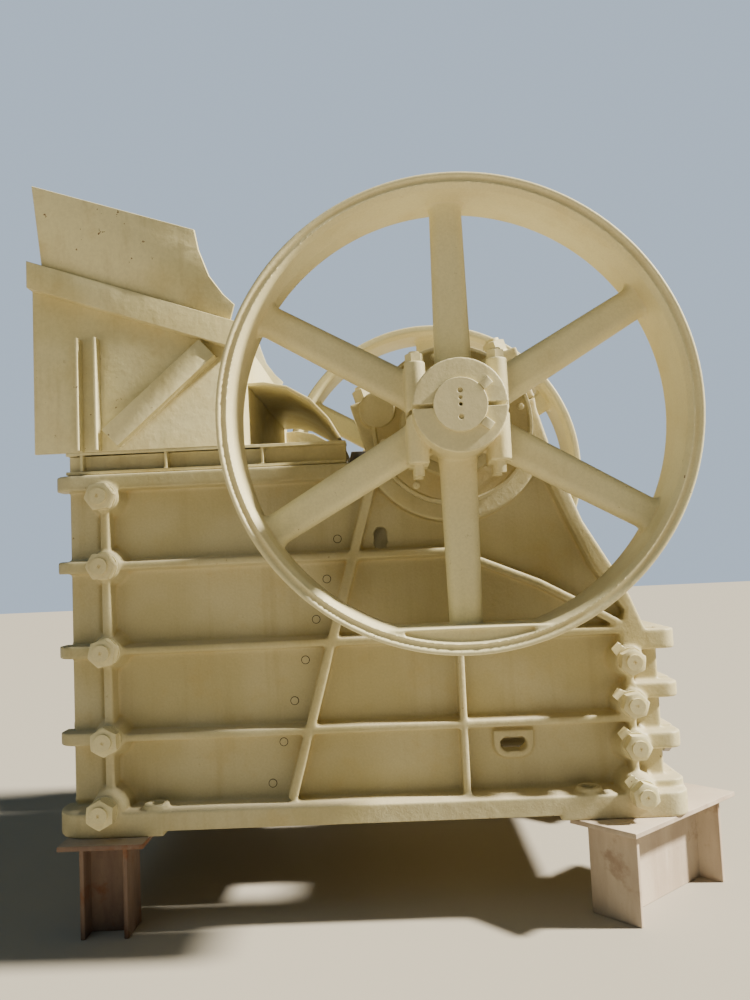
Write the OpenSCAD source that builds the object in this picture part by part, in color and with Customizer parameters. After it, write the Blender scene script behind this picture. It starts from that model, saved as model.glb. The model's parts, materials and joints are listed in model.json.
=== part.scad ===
// Single-toggle jaw crusher with ribbed cast side frames, two split-hub flywheels and a feed hopper.
// Heights and lengths are worked out from the shaft axis: x to the right, y away from the viewer.

/* [Flywheels] */
// Outside radius of a flywheel
wheel_r = 900; // [860:5:930]
// Radial thickness of the rim
rim_t = 55; // [40:1:75]
// Width of the rim along the shaft
rim_w = 310; // [260:5:330]
// Distance from the middle of the machine to the outer face of the rim
rim_face = 1198; // [1190:1:1240]
// Outside radius of the hub
hub_r = 173; // [165:1:185]
// How far the hub stands out past the rim
hub_out = 80; // [50:5:110]
// Number of spokes
spoke_count = 6; // [6:1:6]
// Width of a spoke across the wheel
spoke_w = 132; // [110:2:150]
// Thickness of a spoke along the shaft
spoke_t = 84; // [64:2:110]
// Width of the slot that splits the hub
hub_slot = 13; // [8:1:18]
// Distance from the shaft to the flat inner side of the counterweight
weight_flat = 797; // [780:1:815]
// Depth of the pocket cast in the counterweight
weight_pocket = 22; // [12:1:40]

/* [Shaft and bearings] */
// Radius of the shaft where a flywheel is clamped
seat_r = 98; // [90:1:104]
// Radius of the shaft in its bearings
journal_r = 130; // [120:1:140]
// Radius of the eccentric part of the shaft
eccentric_r = 165; // [155:1:175]
// Throw of the eccentric, half the stroke
throw = 12; // [8:0.5:14]
// Outside radius of the bearing barrel held by the frame
barrel_r = 235; // [225:1:240]
// Radius of the round cover flange on a bearing
cover_r = 333; // [320:1:345]
// Tilt of the split line under a bearing cap
cap_tilt = 17; // [12:1:20]
// Sideways distance from the shaft to a cap bolt
cap_bolt_u = 290; // [288:1:300]

/* [Side frames] */
// Distance from the middle of the machine to the inner face of a side plate
side_in = 640; // [630:1:650]
// Thickness of a side plate between its ribs
side_t = 60; // [50:1:64]
// Distance from the middle of the machine to the outer face of the ribs
rib_face = 778; // [765:1:785]
// Distance from the middle of the machine to the edge of the bottom flange
foot_face = 840; // [825:5:860]
// Thickness of a cast rib
rib_t = 40; // [30:1:48]
// Thickness of the bottom flange
foot_t = 125; // [110:1:135]
// Depth of the underside of the frame below the shaft
base_z = 1600; // [1590:1:1610]
// Height of the top flange below the shaft
top_z = 125; // [118:1:132]

/* [Crushing chamber] */
// Width of the jaw faces
jaw_w = 1180; // [1160:2:1184]
// Thickness of the cheek plates
cheek_t = 40; // [30:1:40]
// Thickness of the jaw faces
die_t = 90; // [80:1:95]

/* [Hopper] */
// Distance from the middle of the machine to the outer face of the hopper sides
hopper_face = 740; // [730:1:750]
// Thickness of the hopper plates
plate_t = 14; // [10:1:20]
// How far the hopper reaches in front of the shaft
hopper_x = 1767; // [1750:1:1790]
// Height of the hopper's corner above the shaft
hopper_top = 1110; // [1080:5:1140]

/* [Support stubs] */
// Depth of the ground below the shaft
ground_z = 1970; // [1965:1:1990]
// Thickness of the packing plates
pack_t = 20; // [16:1:25]

// Length and width of a rear packing plate
rear_plate = [760, 300];
// Turn of a rear support on the ground
rear_turn = 42; // [30:1:50]
// Length and width of a front packing plate
front_plate = [340, 240];

/* [Hidden] */

cream = [0.90, 0.85, 0.68];
steel = [0.42, 0.37, 0.31];
worn = [0.35, 0.34, 0.33];

// Gap left round a curved face that sits in another
seat_gap = 0.3;
rear_spot = [770, 662];
front_spot = [-1460, 800];
rear_plate_reach = rear_spot[0] + rear_plate[0] / 2 * cos(rear_turn) + rear_plate[1] / 2 * sin(rear_turn);
// Place of the shaft above the middle of the base
shaft_x = (hopper_x - rear_plate_reach) / 2;
plate_face = side_in + side_t;
rim_in = rim_face - rim_w;
hub_face = rim_face + hub_out;
rim_inner_r = wheel_r - rim_t;
spoke_y = rim_in + rim_w * 0.45;
barrel_face = rib_face + 12;
cover_face = barrel_face + 44;
hub_in = cover_face + 26;

// Side frame outline
front_x = 1620;
ear_x = 1660;
rear_x = 800;
rear_ear_x = 873;
front_wall_x = 1456;
rear_bolt_x = 671;
front_ribs = [510, 852, 1189];
front_bolts = [227, 515, 868, 1213, 1497];
rear_ears = [900, 1110, 1310, 1500];
rear_bolts = [986, 1159, 1330, 1507];
rod_z = 1405;
horn_u = 400;
saddle_u = 366;
rear_slope = [[430, 380], [494, 515], [660, 830]];

// Jaw faces: x of the face at the top and the bottom
jaw_top = 60;
jaw_bottom = 1440;
fixed_x = [1180, 920];
swing_x = [430, 760];
toggle_x = -swing_x[1] + die_t + 220;
toggle_z = jaw_bottom - 95;
toggle_gap = 14;
toggle_seat = [432, -1265];
fixed_lean = atan((fixed_x[0] - fixed_x[1]) / (jaw_bottom - jaw_top));
swing_lean = atan((swing_x[1] - swing_x[0]) / (jaw_bottom - jaw_top));

module placed() {
    translate([shaft_x, 0, ground_z]) children();
}

// Extrudes an outline drawn in x and z between two distances along y
module across(y0, y1) {
    translate([0, y1, 0]) rotate([90, 0, 0]) linear_extrude(y1 - y0) children();
}

module rod_y(x, z, r, y0, y1) {
    translate([x, y0, z]) rotate([-90, 0, 0]) cylinder(h = y1 - y0, r = r, $fn = 48);
}

module near() {
    mirror([0, 1, 0]) children();
}

module both_sides() {
    children();
    near() children();
}

// Plate outline of a side frame, with the tilted seat for the bearing
module side_outline() {
    c = cos(cap_tilt);
    s = sin(cap_tilt);
    polygon([
        [-front_x, -base_z], [-front_x, -top_z], [-saddle_u * c - 20, -top_z], [-saddle_u * c, -saddle_u * s],
        [horn_u * c, horn_u * s], [rear_slope[0][0] - 53, -200], [rear_slope[0][0], -rear_slope[0][1]],
        [rear_slope[1][0], -rear_slope[1][1]], [rear_slope[2][0], -rear_slope[2][1]],
        [rear_x, -rear_ears[0]], [rear_x, -base_z]
    ]);
}

// A slab between two points of the outline plane
module bar_xz(a, b, t) {
    d = b - a;
    translate(a) rotate(atan2(d[1], d[0])) translate([0, -t / 2]) square([norm(d), t]);
}

// Horizontal rib that wraps round the front corner as a rounded ear
module front_rib(z, t, x_end, face = rib_face) {
    r = face - plate_face + 8;
    translate([0, 0, -z - t / 2]) linear_extrude(t) intersection() {
        union() {
            translate([-ear_x + r, plate_face - 8]) square([x_end + ear_x - r, r]);
            translate([-ear_x + r, plate_face - 8]) circle(r = r, $fn = 64);
            translate([-ear_x, side_in]) square([ear_x - front_x + 1, plate_face - 8 - side_in]);
        }
        translate([-ear_x, side_in]) square([x_end + ear_x, face - side_in]);
    }
}

module rear_ear(z, t) {
    r = 62;
    translate([0, 0, -z - t / 2]) linear_extrude(t) {
        translate([rear_x - 200, plate_face - 4]) square([200 + rear_ear_x - r - rear_x, rib_face - plate_face + 4]);
        translate([rear_ear_x - r, rib_face - r]) circle(r = r, $fn = 64);
        translate([rear_x - 1, side_in]) square([rear_ear_x - rear_x + 1, rib_face - r - side_in]);
        translate([rear_x - 1, side_in]) square([rear_ear_x - r - rear_x + 1, rib_face - side_in]);
    }
}

module side_frame() {
    color(cream) placed() difference() {
        union() {
            across(side_in, plate_face) side_outline();
            // Seat block under the bearing, full depth of the ribs
            across(plate_face - 1, rib_face) intersection() {
                side_outline();
                union() {
                    circle(r = horn_u, $fn = 96);
                    bar_xz([0, 0], [horn_u, 20], 300);
                }
            }
            front_rib(top_z + 37.5, 75, -saddle_u * cos(cap_tilt) - 20);
            front_rib(front_ribs[0], rib_t, 0);
            front_rib(front_ribs[1], rib_t, rear_x - 100);
            front_rib(front_ribs[2], rib_t, rear_x - 100);
            front_rib(base_z - foot_t / 2, foot_t, rear_x, foot_face);
            for (z = rear_ears) rear_ear(z, z == rear_ears[3] ? 80 : 62);
            across(plate_face - 1, rib_face) {
                bar_xz([-front_wall_x, -base_z + 10], [-front_wall_x, -top_z - 10], 50);
                bar_xz([-341, -237], [-705, -base_z + 40], 50);
                bar_xz([-10, -front_ribs[1]], [-10, -base_z + 40], 44);
                bar_xz([-20, -front_ribs[0] + 4], [rear_slope[2][0] - 20, -front_ribs[1] + 20], rib_t);
                bar_xz([rear_bolt_x, -rear_ears[0] + 80], [rear_bolt_x, -base_z + 10], 60);
                intersection() {
                    side_outline();
                    union() {
                        bar_xz([354, -200], [407, -390], 60);
                        bar_xz([407, -390], [472, -525], 60);
                        bar_xz([472, -525], [650, -860], 60);
                        bar_xz([630, -840], [820, -930], 100);
                    }
                }
            }
            for (z = front_bolts) rod_y(-front_wall_x, -z, 72, plate_face - 1, boss_face(z));
            for (z = rear_bolts) rod_y(rear_bolt_x, -z, 66, plate_face - 1, boss_face(z));
            across(plate_face - 1, plate_face + 22) translate([183, -1299]) {
                square([165, 111], center = true);
            }
        }
        rod_y(0, 0, barrel_r + seat_gap, side_in - 10, foot_face + 10);
        for (z = front_bolts) rod_y(-front_wall_x, -z, 39, side_in - 10, foot_face + 20);
        for (z = rear_bolts) rod_y(rear_bolt_x, -z, 37, side_in - 10, foot_face + 20);
        // Relief between the two foot pads
        translate([-1215, side_in - 1, -base_z - 1]) cube([1565, foot_face, 26]);
        // Oval sight holes
        for (end = [-1, 1]) {
            rod_y(-317, -450 + end * 20, 25, side_in - 10, foot_face);
            rod_y(183 + end * 26, -1299, 27, side_in - 10, foot_face);
        }
        across(side_in - 10, foot_face) {
            translate([-317, -450]) square([50, 40], center = true);
            translate([183, -1299]) square([52, 54], center = true);
        }
        // Blind holes for the cap bolts
        rotate([0, -cap_tilt, 0]) for (u = [-cap_bolt_u, cap_bolt_u])
            translate([u, (side_in + rib_face) / 2 + 6, -150]) cylinder(h = 160, r = 31, $fn = 48);
        // Holes for the hold-down bolts
        for (x = [-1250, 560]) translate([x, plate_face + 80, -base_z - 1]) cylinder(h = foot_t + 2, r = 26, $fn = 48);
    }
}

module side_frame_near() {
    near() side_frame();
}

module side_frame_far() {
    side_frame();
}

module front_frame() {
    color(cream) placed() difference() {
        union() {
            // Sloping seat behind the fixed jaw
            across(-side_in, side_in) polygon([
                [-fixed_x[0] - die_t - 90, -top_z], [-fixed_x[0] - die_t, -top_z],
                [-fixed_x[1] - die_t - 20, -base_z + 90], [-fixed_x[1] - die_t - 20, -base_z],
                [-fixed_x[1] - die_t - 140, -base_z]
            ]);
            for (z = front_ribs) translate([-ear_x, -side_in, -z - rib_t / 2])
                cube([ear_x - fixed_x[1] - die_t - 240, side_in * 2, rib_t]);
            translate([-ear_x, -side_in, -top_z - 75]) cube([ear_x - fixed_x[0] - die_t - 10, side_in * 2, 75]);
            translate([-ear_x, -side_in, -base_z]) cube([ear_x - fixed_x[1] - die_t - 120, side_in * 2, foot_t]);
            for (y = [-side_in, -240, 180, side_in - 60]) across(y, y + 60) polygon([
                [-front_x + 20, -base_z], [-front_x + 20, -top_z - 10], [-fixed_x[0] - die_t - 20, -top_z - 10],
                [-fixed_x[1] - die_t - 60, -base_z]
            ]);
            both_sides() for (z = front_bolts) rod_y(-front_wall_x, -z, 72, side_in - 150, side_in);
        }
        both_sides() for (z = front_bolts) rod_y(-front_wall_x, -z, 37, side_in - 125, side_in + 1);
        // Clears the fixed jaw and everything in the chamber
        across(-side_in - 1, side_in + 1) polygon([
            [-fixed_x[0] - die_t, 0], [-fixed_x[1] - die_t, -jaw_bottom], [-fixed_x[1] - die_t, -jaw_bottom - 1],
            [0, -jaw_bottom - 1], [0, 0]
        ]);
    }
}

// Bolts at the level of the bottom flange sit on longer bosses
function boss_face(z) = (z > base_z - foot_t - 40 ? foot_face : rib_face) + 10;

module hex_bolt(x, z, r, af, y_in, y_out, head) {
    rod_y(x, z, r, y_in, y_out + head - 1);
    translate([x, y_out, z]) rotate([-90, 0, 0]) cylinder(h = 14, r = af * 0.62, $fn = 48);
    translate([x, y_out + 13, z]) rotate([-90, 0, 0]) cylinder(h = head - 13, r = af / sqrt(3), $fn = 6);
    rod_y(x, z, r, y_out + head - 2, y_out + head + 30);
}

module front_frame_bolts() {
    color(cream) placed() both_sides() for (z = front_bolts)
        hex_bolt(-front_wall_x, -z, 36, 104, side_in - 120, boss_face(z), 62);
}

module rear_frame_bolts() {
    color(cream) placed() both_sides() for (z = rear_bolts)
        hex_bolt(rear_bolt_x, -z, 34, 96, side_in - 120, boss_face(z), 58);
}

module rear_frame() {
    wall = 70;
    color(cream) placed() difference() {
        union() {
            translate([rear_x - wall, -side_in, -base_z]) cube([wall, side_in * 2, base_z - rear_ears[0]]);
            for (z = rear_ears) translate([560, -side_in, -z - 31]) cube([rear_ear_x - 560, side_in * 2, 62]);
            for (y = [-side_in, -230, 170, side_in - 60]) translate([560, y, -base_z]) cube([rear_x - 570, 60, base_z - rear_ears[0]]);
            translate([560, -side_in, -1375]) cube([60, side_in * 2, 285]);
            both_sides() for (z = rear_bolts) rod_y(rear_bolt_x, -z, 66, side_in - 150, side_in);
        }
        both_sides() for (z = rear_bolts) rod_y(rear_bolt_x, -z, 35, side_in - 125, side_in + 1);
        for (side = [-1, 1]) translate([500, side * 330, -rod_z]) rotate([0, 90, 0]) cylinder(h = 500, r = 32, $fn = 48);
    }
}

module bearing_housing() {
    color(cream) placed() difference() {
        union() {
            rod_y(0, 0, barrel_r, side_in, barrel_face + 1);
            rod_y(0, 0, cover_r, barrel_face, cover_face);
        }
        rod_y(0, 0, journal_r + seat_gap, side_in - 1, cover_face + 1);
    }
}

module bearing_housing_near() {
    near() bearing_housing();
}

module bearing_housing_far() {
    bearing_housing();
}

module bearing_cap() {
    depth = rib_face - side_in;
    color(cream) placed() rotate([0, -cap_tilt, 0]) difference() {
        across(side_in, side_in + depth) difference() {
            intersection() {
                union() {
                    circle(r = 300, $fn = 96);
                    for (side = [-1, 1]) translate([side * cap_bolt_u, 95]) square([140, 190], center = true);
                }
                translate([-500, 0.3]) square([1000, 500]);
            }
            circle(r = barrel_r + seat_gap, $fn = 96);
        }
        for (u = [-cap_bolt_u, cap_bolt_u]) translate([u, side_in + depth / 2 + 6, -10]) cylinder(h = 210, r = 31, $fn = 48);
    }
}

module bearing_cap_near() {
    near() bearing_cap();
}

module bearing_cap_far() {
    bearing_cap();
}

module cap_bolts() {
    color(cream) placed() both_sides() rotate([0, -cap_tilt, 0]) for (u = [-cap_bolt_u, cap_bolt_u])
        translate([u, (side_in + rib_face) / 2 + 6, 0]) {
            translate([0, 0, -150]) cylinder(h = 400, r = 30, $fn = 48);
            translate([0, 0, 190]) cylinder(h = 45, r = 52, $fn = 6);
        }
}

// Line of a jaw face shifted back by t
module jaw_slab(x_top, x_bottom, t0, t1, z0, z1) {
    across(-jaw_w / 2, jaw_w / 2) polygon([
        [-x_top + t0, -z0], [-x_top + t1, -z0], [-x_bottom + t1, -z1], [-x_bottom + t0, -z1]
    ]);
}

module fixed_jaw_face() {
    color(worn) placed() jaw_slab(fixed_x[0], fixed_x[1], -die_t + 0, 0, jaw_top, jaw_bottom);
}

module swing_jaw_face() {
    color(worn) placed() jaw_slab(swing_x[0], swing_x[1], 0, die_t, jaw_top, jaw_bottom);
}

module cheek_plates() {
    color(worn) placed() both_sides() across(side_in - cheek_t, side_in) polygon([
        [-fixed_x[0] - 1 + 20, -jaw_top - 80], [-swing_x[0] + die_t + 40, -jaw_top - 80],
        [-swing_x[1] + die_t + 60, -jaw_bottom + 40], [-fixed_x[1] + 20, -jaw_bottom + 40]
    ]);
}

// Side profile of the pitman from its bearing barrel down to the toggle seat
module pitman_profile() {
    polygon([
        [-swing_x[0] + die_t, -jaw_top + 120], [-200, 250], [60, -200],
        [toggle_x + 10, -toggle_z + 130], [toggle_x, -jaw_bottom - 60],
        [-swing_x[1] + die_t, -jaw_bottom - 60], [-swing_x[1] + die_t, -jaw_bottom], [-swing_x[0] + die_t, -jaw_top]
    ]);
}

module pitman() {
    color(cream) placed() difference() {
        union() {
            rod_y(0, throw, 330, -side_in + 60, side_in - 60);
            difference() {
                across(-jaw_w / 2, jaw_w / 2) pitman_profile();
                // Bays between the ribs, open to the back
                for (y = [50 - jaw_w / 2, -180, 230]) across(y, y + 310) polygon([
                    [-swing_x[0] + die_t + 85, 200], [-swing_x[1] + die_t + 70, -jaw_bottom + 170],
                    [300, -jaw_bottom + 170], [400, 200]
                ]);
            }
        }
        rod_y(0, throw, eccentric_r + seat_gap, -side_in, side_in);
        // Groove for the toggle, with room for the swing
        across(-jaw_w / 2 - 1, jaw_w / 2 + 1) translate([toggle_x + 10, -toggle_z]) circle(r = 70, $fn = 48);
    }
}

module toggle_plate() {
    color(cream) placed() across(-420, 420) {
        bar_xz([toggle_x + toggle_gap, -toggle_z], toggle_seat, 70);
        translate([toggle_x + toggle_gap, -toggle_z]) circle(r = 42, $fn = 48);
        translate(toggle_seat) circle(r = 42, $fn = 48);
    }
}

module toggle_seat_block() {
    color(cream) placed() difference() {
        translate([400, -450, -1370]) cube([160, 900, 240]);
        across(-460, 460) {
            bar_xz([toggle_x + toggle_gap, -toggle_z], toggle_seat, 90);
            translate(toggle_seat) circle(r = 42 + seat_gap, $fn = 48);
        }
    }
}

module tension_rods() {
    color(steel) placed() for (side = [-1, 1]) {
        translate([-350, side * 330, -rod_z]) rotate([0, 90, 0]) cylinder(h = 1310, r = 30, $fn = 48);
        translate([915, side * 330, -rod_z]) rotate([0, 90, 0]) cylinder(h = 30, r = 58, $fn = 6);
    }
}

module tension_springs() {
    color(steel) placed() for (side = [-1, 1]) translate([rear_x, side * 330, -rod_z]) rotate([0, 90, 0]) difference() {
        cylinder(h = 115, r = 56, $fn = 48);
        translate([0, 0, -1]) cylinder(h = 117, r = 44, $fn = 48);
    }
}

module hopper_rail() {
    x0 = -1635;
    x1 = -445;
    h = top_z - 30;
    color(cream) placed() translate([x0, 0, -top_z]) {
        translate([0, plate_face - 60, 0]) cube([x1 - x0, 100, 14]);
        translate([0, plate_face - 60, h - 14]) cube([x1 - x0, 100, 14]);
        translate([0, plate_face - 16, 0]) cube([x1 - x0, 12, h]);
        for (x = [60, 420, 830]) translate([x, plate_face - 60, 0]) cube([12, 98, h]);
    }
}

module hopper_rail_near() {
    near() hopper_rail();
}

module hopper_rail_far() {
    hopper_rail();
}

hopper_low = 30;
slope_a = [-hopper_x, 735];
slope_b = [-887, 430];
slope_rise = (slope_a[1] - slope_b[1]) / (slope_b[0] - slope_a[0]);
channel_w = 110;
flare = 12;
module hopper_side() {
    color(cream) placed() across(hopper_face - plate_t, hopper_face) polygon([
        [-hopper_x, -hopper_low], [-hopper_x, slope_a[1]], [-870, slope_b[1] - 6], [-870, -hopper_low]
    ]);
}

module hopper_side_near() {
    near() hopper_side();
}

module hopper_side_far() {
    hopper_side();
}

module hopper_front_wall() {
    lip = fixed_x[0] + die_t + 5;
    w = hopper_face - plate_t;
    color(cream) placed() intersection() {
        across(-w, w) polygon([
            [-hopper_x, 150], [-hopper_x, 170], [-lip, -50], [-lip, -top_z], [-lip - plate_t, -top_z],
            [-lip - plate_t, -60]
        ]);
        union() {
            translate([-hopper_x, -w, -30]) cube([hopper_x, 2 * w, 400]);
            translate([-hopper_x, 60 - plate_face, -top_z]) cube([hopper_x, 2 * (plate_face - 60), 400]);
        }
    }
}

module hopper_end_wall() {
    color(cream) placed() translate([-870 - plate_t, -hopper_face + plate_t, -hopper_low])
        cube([plate_t, 2 * (hopper_face - plate_t), 470]);
}

module hopper_top_channels() {
    color(cream) placed() both_sides() across(hopper_face, hopper_face + 60) intersection() {
        bar_xz(slope_a - [60, -60 * slope_rise], slope_b, channel_w);
        translate([-hopper_x, 0]) square([2 * hopper_x, 2 * hopper_x]);
    }
}

module hopper_stiffeners() {
    color(cream) placed() both_sides() for (x = [-1566, -1490])
        translate([x, hopper_face, -hopper_low]) cube([12, 60, 480]);
}

module hopper_braces() {
    color(cream) placed() both_sides() across(hopper_face, hopper_face + 50) bar_xz([-1430, 20], [-1010, 385], 96);
}

// Flared plate above the channel, hinged along the channel's top edge
module hopper_extension() {
    fall = atan2(slope_a[1] - slope_b[1], slope_b[0] - slope_a[0]);
    dir = [cos(fall), -sin(fall)];
    up = [sin(fall), cos(fall)];
    foot = slope_a + up * channel_w / 2;
    low = plate_t * sin(flare) + 0.3;
    edge = [
        [-1719, hopper_top], [-1034, 883], [-1022, 800], [-985, 690], [-930, 610], [-886, 566]
    ];
    color(cream) placed() translate([foot[0], hopper_face + 20, foot[1]]) rotate([0, fall, 0]) rotate([-flare, 0, 0])
        across(0, plate_t) polygon(concat(
            [[(edge[5] - foot) * dir, low], [40, low]],
            [for (p = edge) [(p - foot) * dir, (p - foot) * up]]
        ));
}

module hopper_extension_near() {
    near() hopper_extension();
}

module hopper_extension_far() {
    hopper_extension();
}

module pitman_guard() {
    color(cream) placed() across(-side_in + 20, side_in - 20) difference() {
        polygon([[-870, 260], [-800, 262], [-700, 240], [-600, 180], [-520, 90], [-470, 0],
            [-484, -6], [-532, 80], [-610, 168], [-705, 226], [-800, 248], [-870, 246]]);
    }
}

// Upright stub of an I-section under a packing plate
module support(x, y, turn, depth, flange, plate) {
    h = ground_z - base_z - pack_t;
    color(steel) placed() translate([x, y, -ground_z]) rotate([0, 0, turn]) {
        translate([-plate[0] / 2, -plate[1] / 2, h]) cube([plate[0], plate[1], pack_t]);
        for (side = [-1, 1]) translate([side * (depth / 2 - 9) - 9, -flange / 2, 0]) cube([18, flange, h]);
        translate([-depth / 2, -6, 0]) cube([depth, 12, h]);
    }
}

module rear_support_near() {
    support(rear_spot[0], -rear_spot[1], rear_turn, 640, 220, rear_plate);
}

module rear_support_far() {
    support(rear_spot[0], rear_spot[1], -rear_turn, 640, 220, rear_plate);
}

module front_support_near() {
    support(front_spot[0], -front_spot[1], 0, 190, 170, front_plate);
}

module front_support_far() {
    support(front_spot[0], front_spot[1], 0, 190, 170, front_plate);
}

module eccentric_shaft() {
    color(steel) placed() {
        rod_y(0, throw, eccentric_r, -side_in + 50, side_in - 50);
        rod_y(0, 0, journal_r, -cover_face - 10, cover_face + 10);
        rod_y(0, 0, seat_r, -hub_face + 6, hub_face - 6);
    }
}

// Oval spoke made of a flat middle and two round edges
module spoke() {
    r = spoke_t / 2;
    for (side = [-1, 1]) translate([side * (spoke_w / 2 - r), spoke_y, hub_r - 20])
        cylinder(h = rim_inner_r - hub_r + 30, r = r, $fn = 48);
    translate([-spoke_w / 2 + r, spoke_y - r, hub_r - 20])
        cube([spoke_w - spoke_t, spoke_t, rim_inner_r - hub_r + 30]);
}

module flywheel() {
    color(cream) placed() difference() {
        union() {
            difference() {
                rod_y(0, 0, wheel_r, rim_in, rim_face);
                rod_y(0, 0, rim_inner_r, rim_in - 1, rim_face + 1);
            }
            rod_y(0, 0, hub_r, hub_in, hub_face);
            for (i = [0 : spoke_count - 1]) rotate([0, i * 360 / spoke_count, 0]) intersection() {
                spoke();
                rod_y(0, 0, wheel_r - 10, rim_in, rim_face);
            }
            across(rim_in + 20, rim_face - 8) difference() {
                circle(r = wheel_r - 10, $fn = 96);
                translate([-wheel_r, -weight_flat]) square([2 * wheel_r, 2 * wheel_r]);
            }
            for (side = [-1, 1]) translate([side * 153 - 38, hub_in + 60, -190]) cube([76, 300, 380]);
        }
        rod_y(0, 0, seat_r + seat_gap, hub_in - 1, hub_face + 1);
        translate([-260, hub_in - 1, -hub_slot / 2]) cube([520, hub_face - hub_in + 2, hub_slot]);
        across(rim_face - 8 - weight_pocket, rim_face) difference() {
            circle(r = rim_inner_r + 6, $fn = 96);
            translate([-wheel_r, -weight_flat - 8]) square([2 * wheel_r, 2 * wheel_r]);
        }
        for (side = [-1, 1], y = [130, 290]) translate([side * 153, hub_in + y, -200]) cylinder(h = 400, r = 22, $fn = 48);
    }
}

module flywheel_near() {
    near() flywheel();
}

module flywheel_far() {
    flywheel();
}

module hub_bolts() {
    color(cream) placed() both_sides() for (side = [-1, 1], y = [130, 290]) translate([side * 153, hub_in + y, 0]) {
        translate([0, 0, -235]) cylinder(h = 470, r = 21, $fn = 48);
        translate([0, 0, 190]) cylinder(h = 34, r = 36, $fn = 6);
        translate([0, 0, -224]) cylinder(h = 34, r = 36, $fn = 6);
    }
}

module shaft_keys() {
    color(cream) placed() both_sides() for (a = [38, -38]) rotate([0, -a, 0])
        translate([seat_r + 1, hub_face, -16]) cube([40, 12, 32]);
}

side_frame_near();
side_frame_far();
front_frame();
rear_frame();
front_frame_bolts();
rear_frame_bolts();
bearing_housing_near();
bearing_housing_far();
bearing_cap_near();
bearing_cap_far();
cap_bolts();
fixed_jaw_face();
cheek_plates();
toggle_seat_block();
toggle_plate();
tension_rods();
tension_springs();
hopper_rail_near();
hopper_rail_far();
hopper_side_near();
hopper_side_far();
hopper_front_wall();
hopper_end_wall();
hopper_top_channels();
hopper_stiffeners();
hopper_braces();
hopper_extension_near();
hopper_extension_far();
pitman_guard();
rear_support_near();
rear_support_far();
front_support_near();
front_support_far();
eccentric_shaft();
flywheel_near();
flywheel_far();
hub_bolts();
shaft_keys();
pitman();
swing_jaw_face();
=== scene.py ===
import bpy
import bmesh
import json
import random
from math import sin, cos, pi, radians, hypot
from mathutils import Vector, Matrix, noise


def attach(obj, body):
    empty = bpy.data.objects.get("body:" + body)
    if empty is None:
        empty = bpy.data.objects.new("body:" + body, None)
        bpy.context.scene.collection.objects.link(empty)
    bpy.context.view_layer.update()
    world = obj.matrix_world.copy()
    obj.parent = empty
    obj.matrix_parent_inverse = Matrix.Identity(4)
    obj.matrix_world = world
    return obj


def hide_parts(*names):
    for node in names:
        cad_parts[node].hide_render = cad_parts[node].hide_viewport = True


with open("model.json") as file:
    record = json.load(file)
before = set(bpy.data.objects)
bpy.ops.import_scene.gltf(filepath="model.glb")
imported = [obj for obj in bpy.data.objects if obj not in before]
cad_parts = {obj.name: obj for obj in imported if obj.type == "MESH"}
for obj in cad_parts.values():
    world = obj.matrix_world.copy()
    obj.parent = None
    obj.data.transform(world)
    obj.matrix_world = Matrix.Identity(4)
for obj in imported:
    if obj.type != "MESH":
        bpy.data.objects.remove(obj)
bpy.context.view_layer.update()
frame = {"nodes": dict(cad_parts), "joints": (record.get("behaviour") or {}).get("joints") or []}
nodes = frame["nodes"]
shaftAt = Vector(frame["joints"][0]["pos_m"])    # places below are in mm from the middle of the shaft

# distance of each layer from the middle plane, mm
layer = {
    "sideIn": 640, "plate": 700, "hopper": 740, "rib": 778, "flange": 790, "cover": 834, "foot": 840,
    "hubIn": 860, "rimIn": 888, "rim": 1198, "hub": 1278, "shaftEnd": 1289,
}

cameraView = {
    "place": (0.048, -4.291, 1.422),
    "yaw": -1.17,      # degrees to the left
    "pitch": 4.17,     # degrees up
    "roll": -2.57,
    "lens": 30.6,      # on the long side of a 36 mm frame
}

def makeCamera(v):
    yaw, pitch, roll = radians(v["yaw"]), radians(v["pitch"]), radians(v["roll"])
    forward = Vector((sin(yaw) * cos(pitch), cos(yaw) * cos(pitch), sin(pitch)))
    side = Vector((cos(yaw), -sin(yaw), 0))
    up = side.cross(forward)
    right = side * cos(roll) + up * sin(roll)
    top = up * cos(roll) - side * sin(roll)
    data = bpy.data.cameras.new("camera")
    data.lens = v["lens"]
    data.sensor_width = 36
    data.clip_end = 200
    cam = bpy.data.objects.new("camera", data)
    turn = Matrix((right, top, -forward)).transposed()
    cam.matrix_world = Matrix.Translation(v["place"]) @ turn.to_4x4()
    bpy.context.scene.collection.objects.link(cam)
    bpy.context.scene.camera = cam

makeCamera(cameraView)
print("camera set")

# pieces and meshes

def at(x, y, z):
    return Vector((x, y, z)) / 1000 + shaftAt

def linkPiece(name, mesh):
    piece = bpy.data.objects.new(name, mesh)
    bpy.context.scene.collection.objects.link(piece)
    return piece

def settle(piece):    # what the modifiers make becomes the piece's own mesh
    graph = bpy.context.evaluated_depsgraph_get()
    made = piece.evaluated_get(graph)
    mesh = bpy.data.meshes.new_from_object(made, preserve_all_data_layers=True, depsgraph=graph)
    before = piece.data
    piece.modifiers.clear()
    piece.data = mesh
    bpy.data.meshes.remove(before)
    mesh.name = piece.name
    return piece

def solidOf(name, *members):    # merged copy of the construction's solids
    bm = bmesh.new()
    for member in members:
        bm.from_mesh(nodes[member].data)
    bmesh.ops.remove_doubles(bm, verts=bm.verts, dist=2e-6)
    mesh = bpy.data.meshes.new(name)
    bm.to_mesh(mesh)
    bm.free()
    return linkPiece(name, mesh)

def meshOf(name, points, faces=(), edges=()):
    mesh = bpy.data.meshes.new(name)
    mesh.from_pydata([tuple(p) for p in points], list(edges), list(faces))
    return mesh

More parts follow.
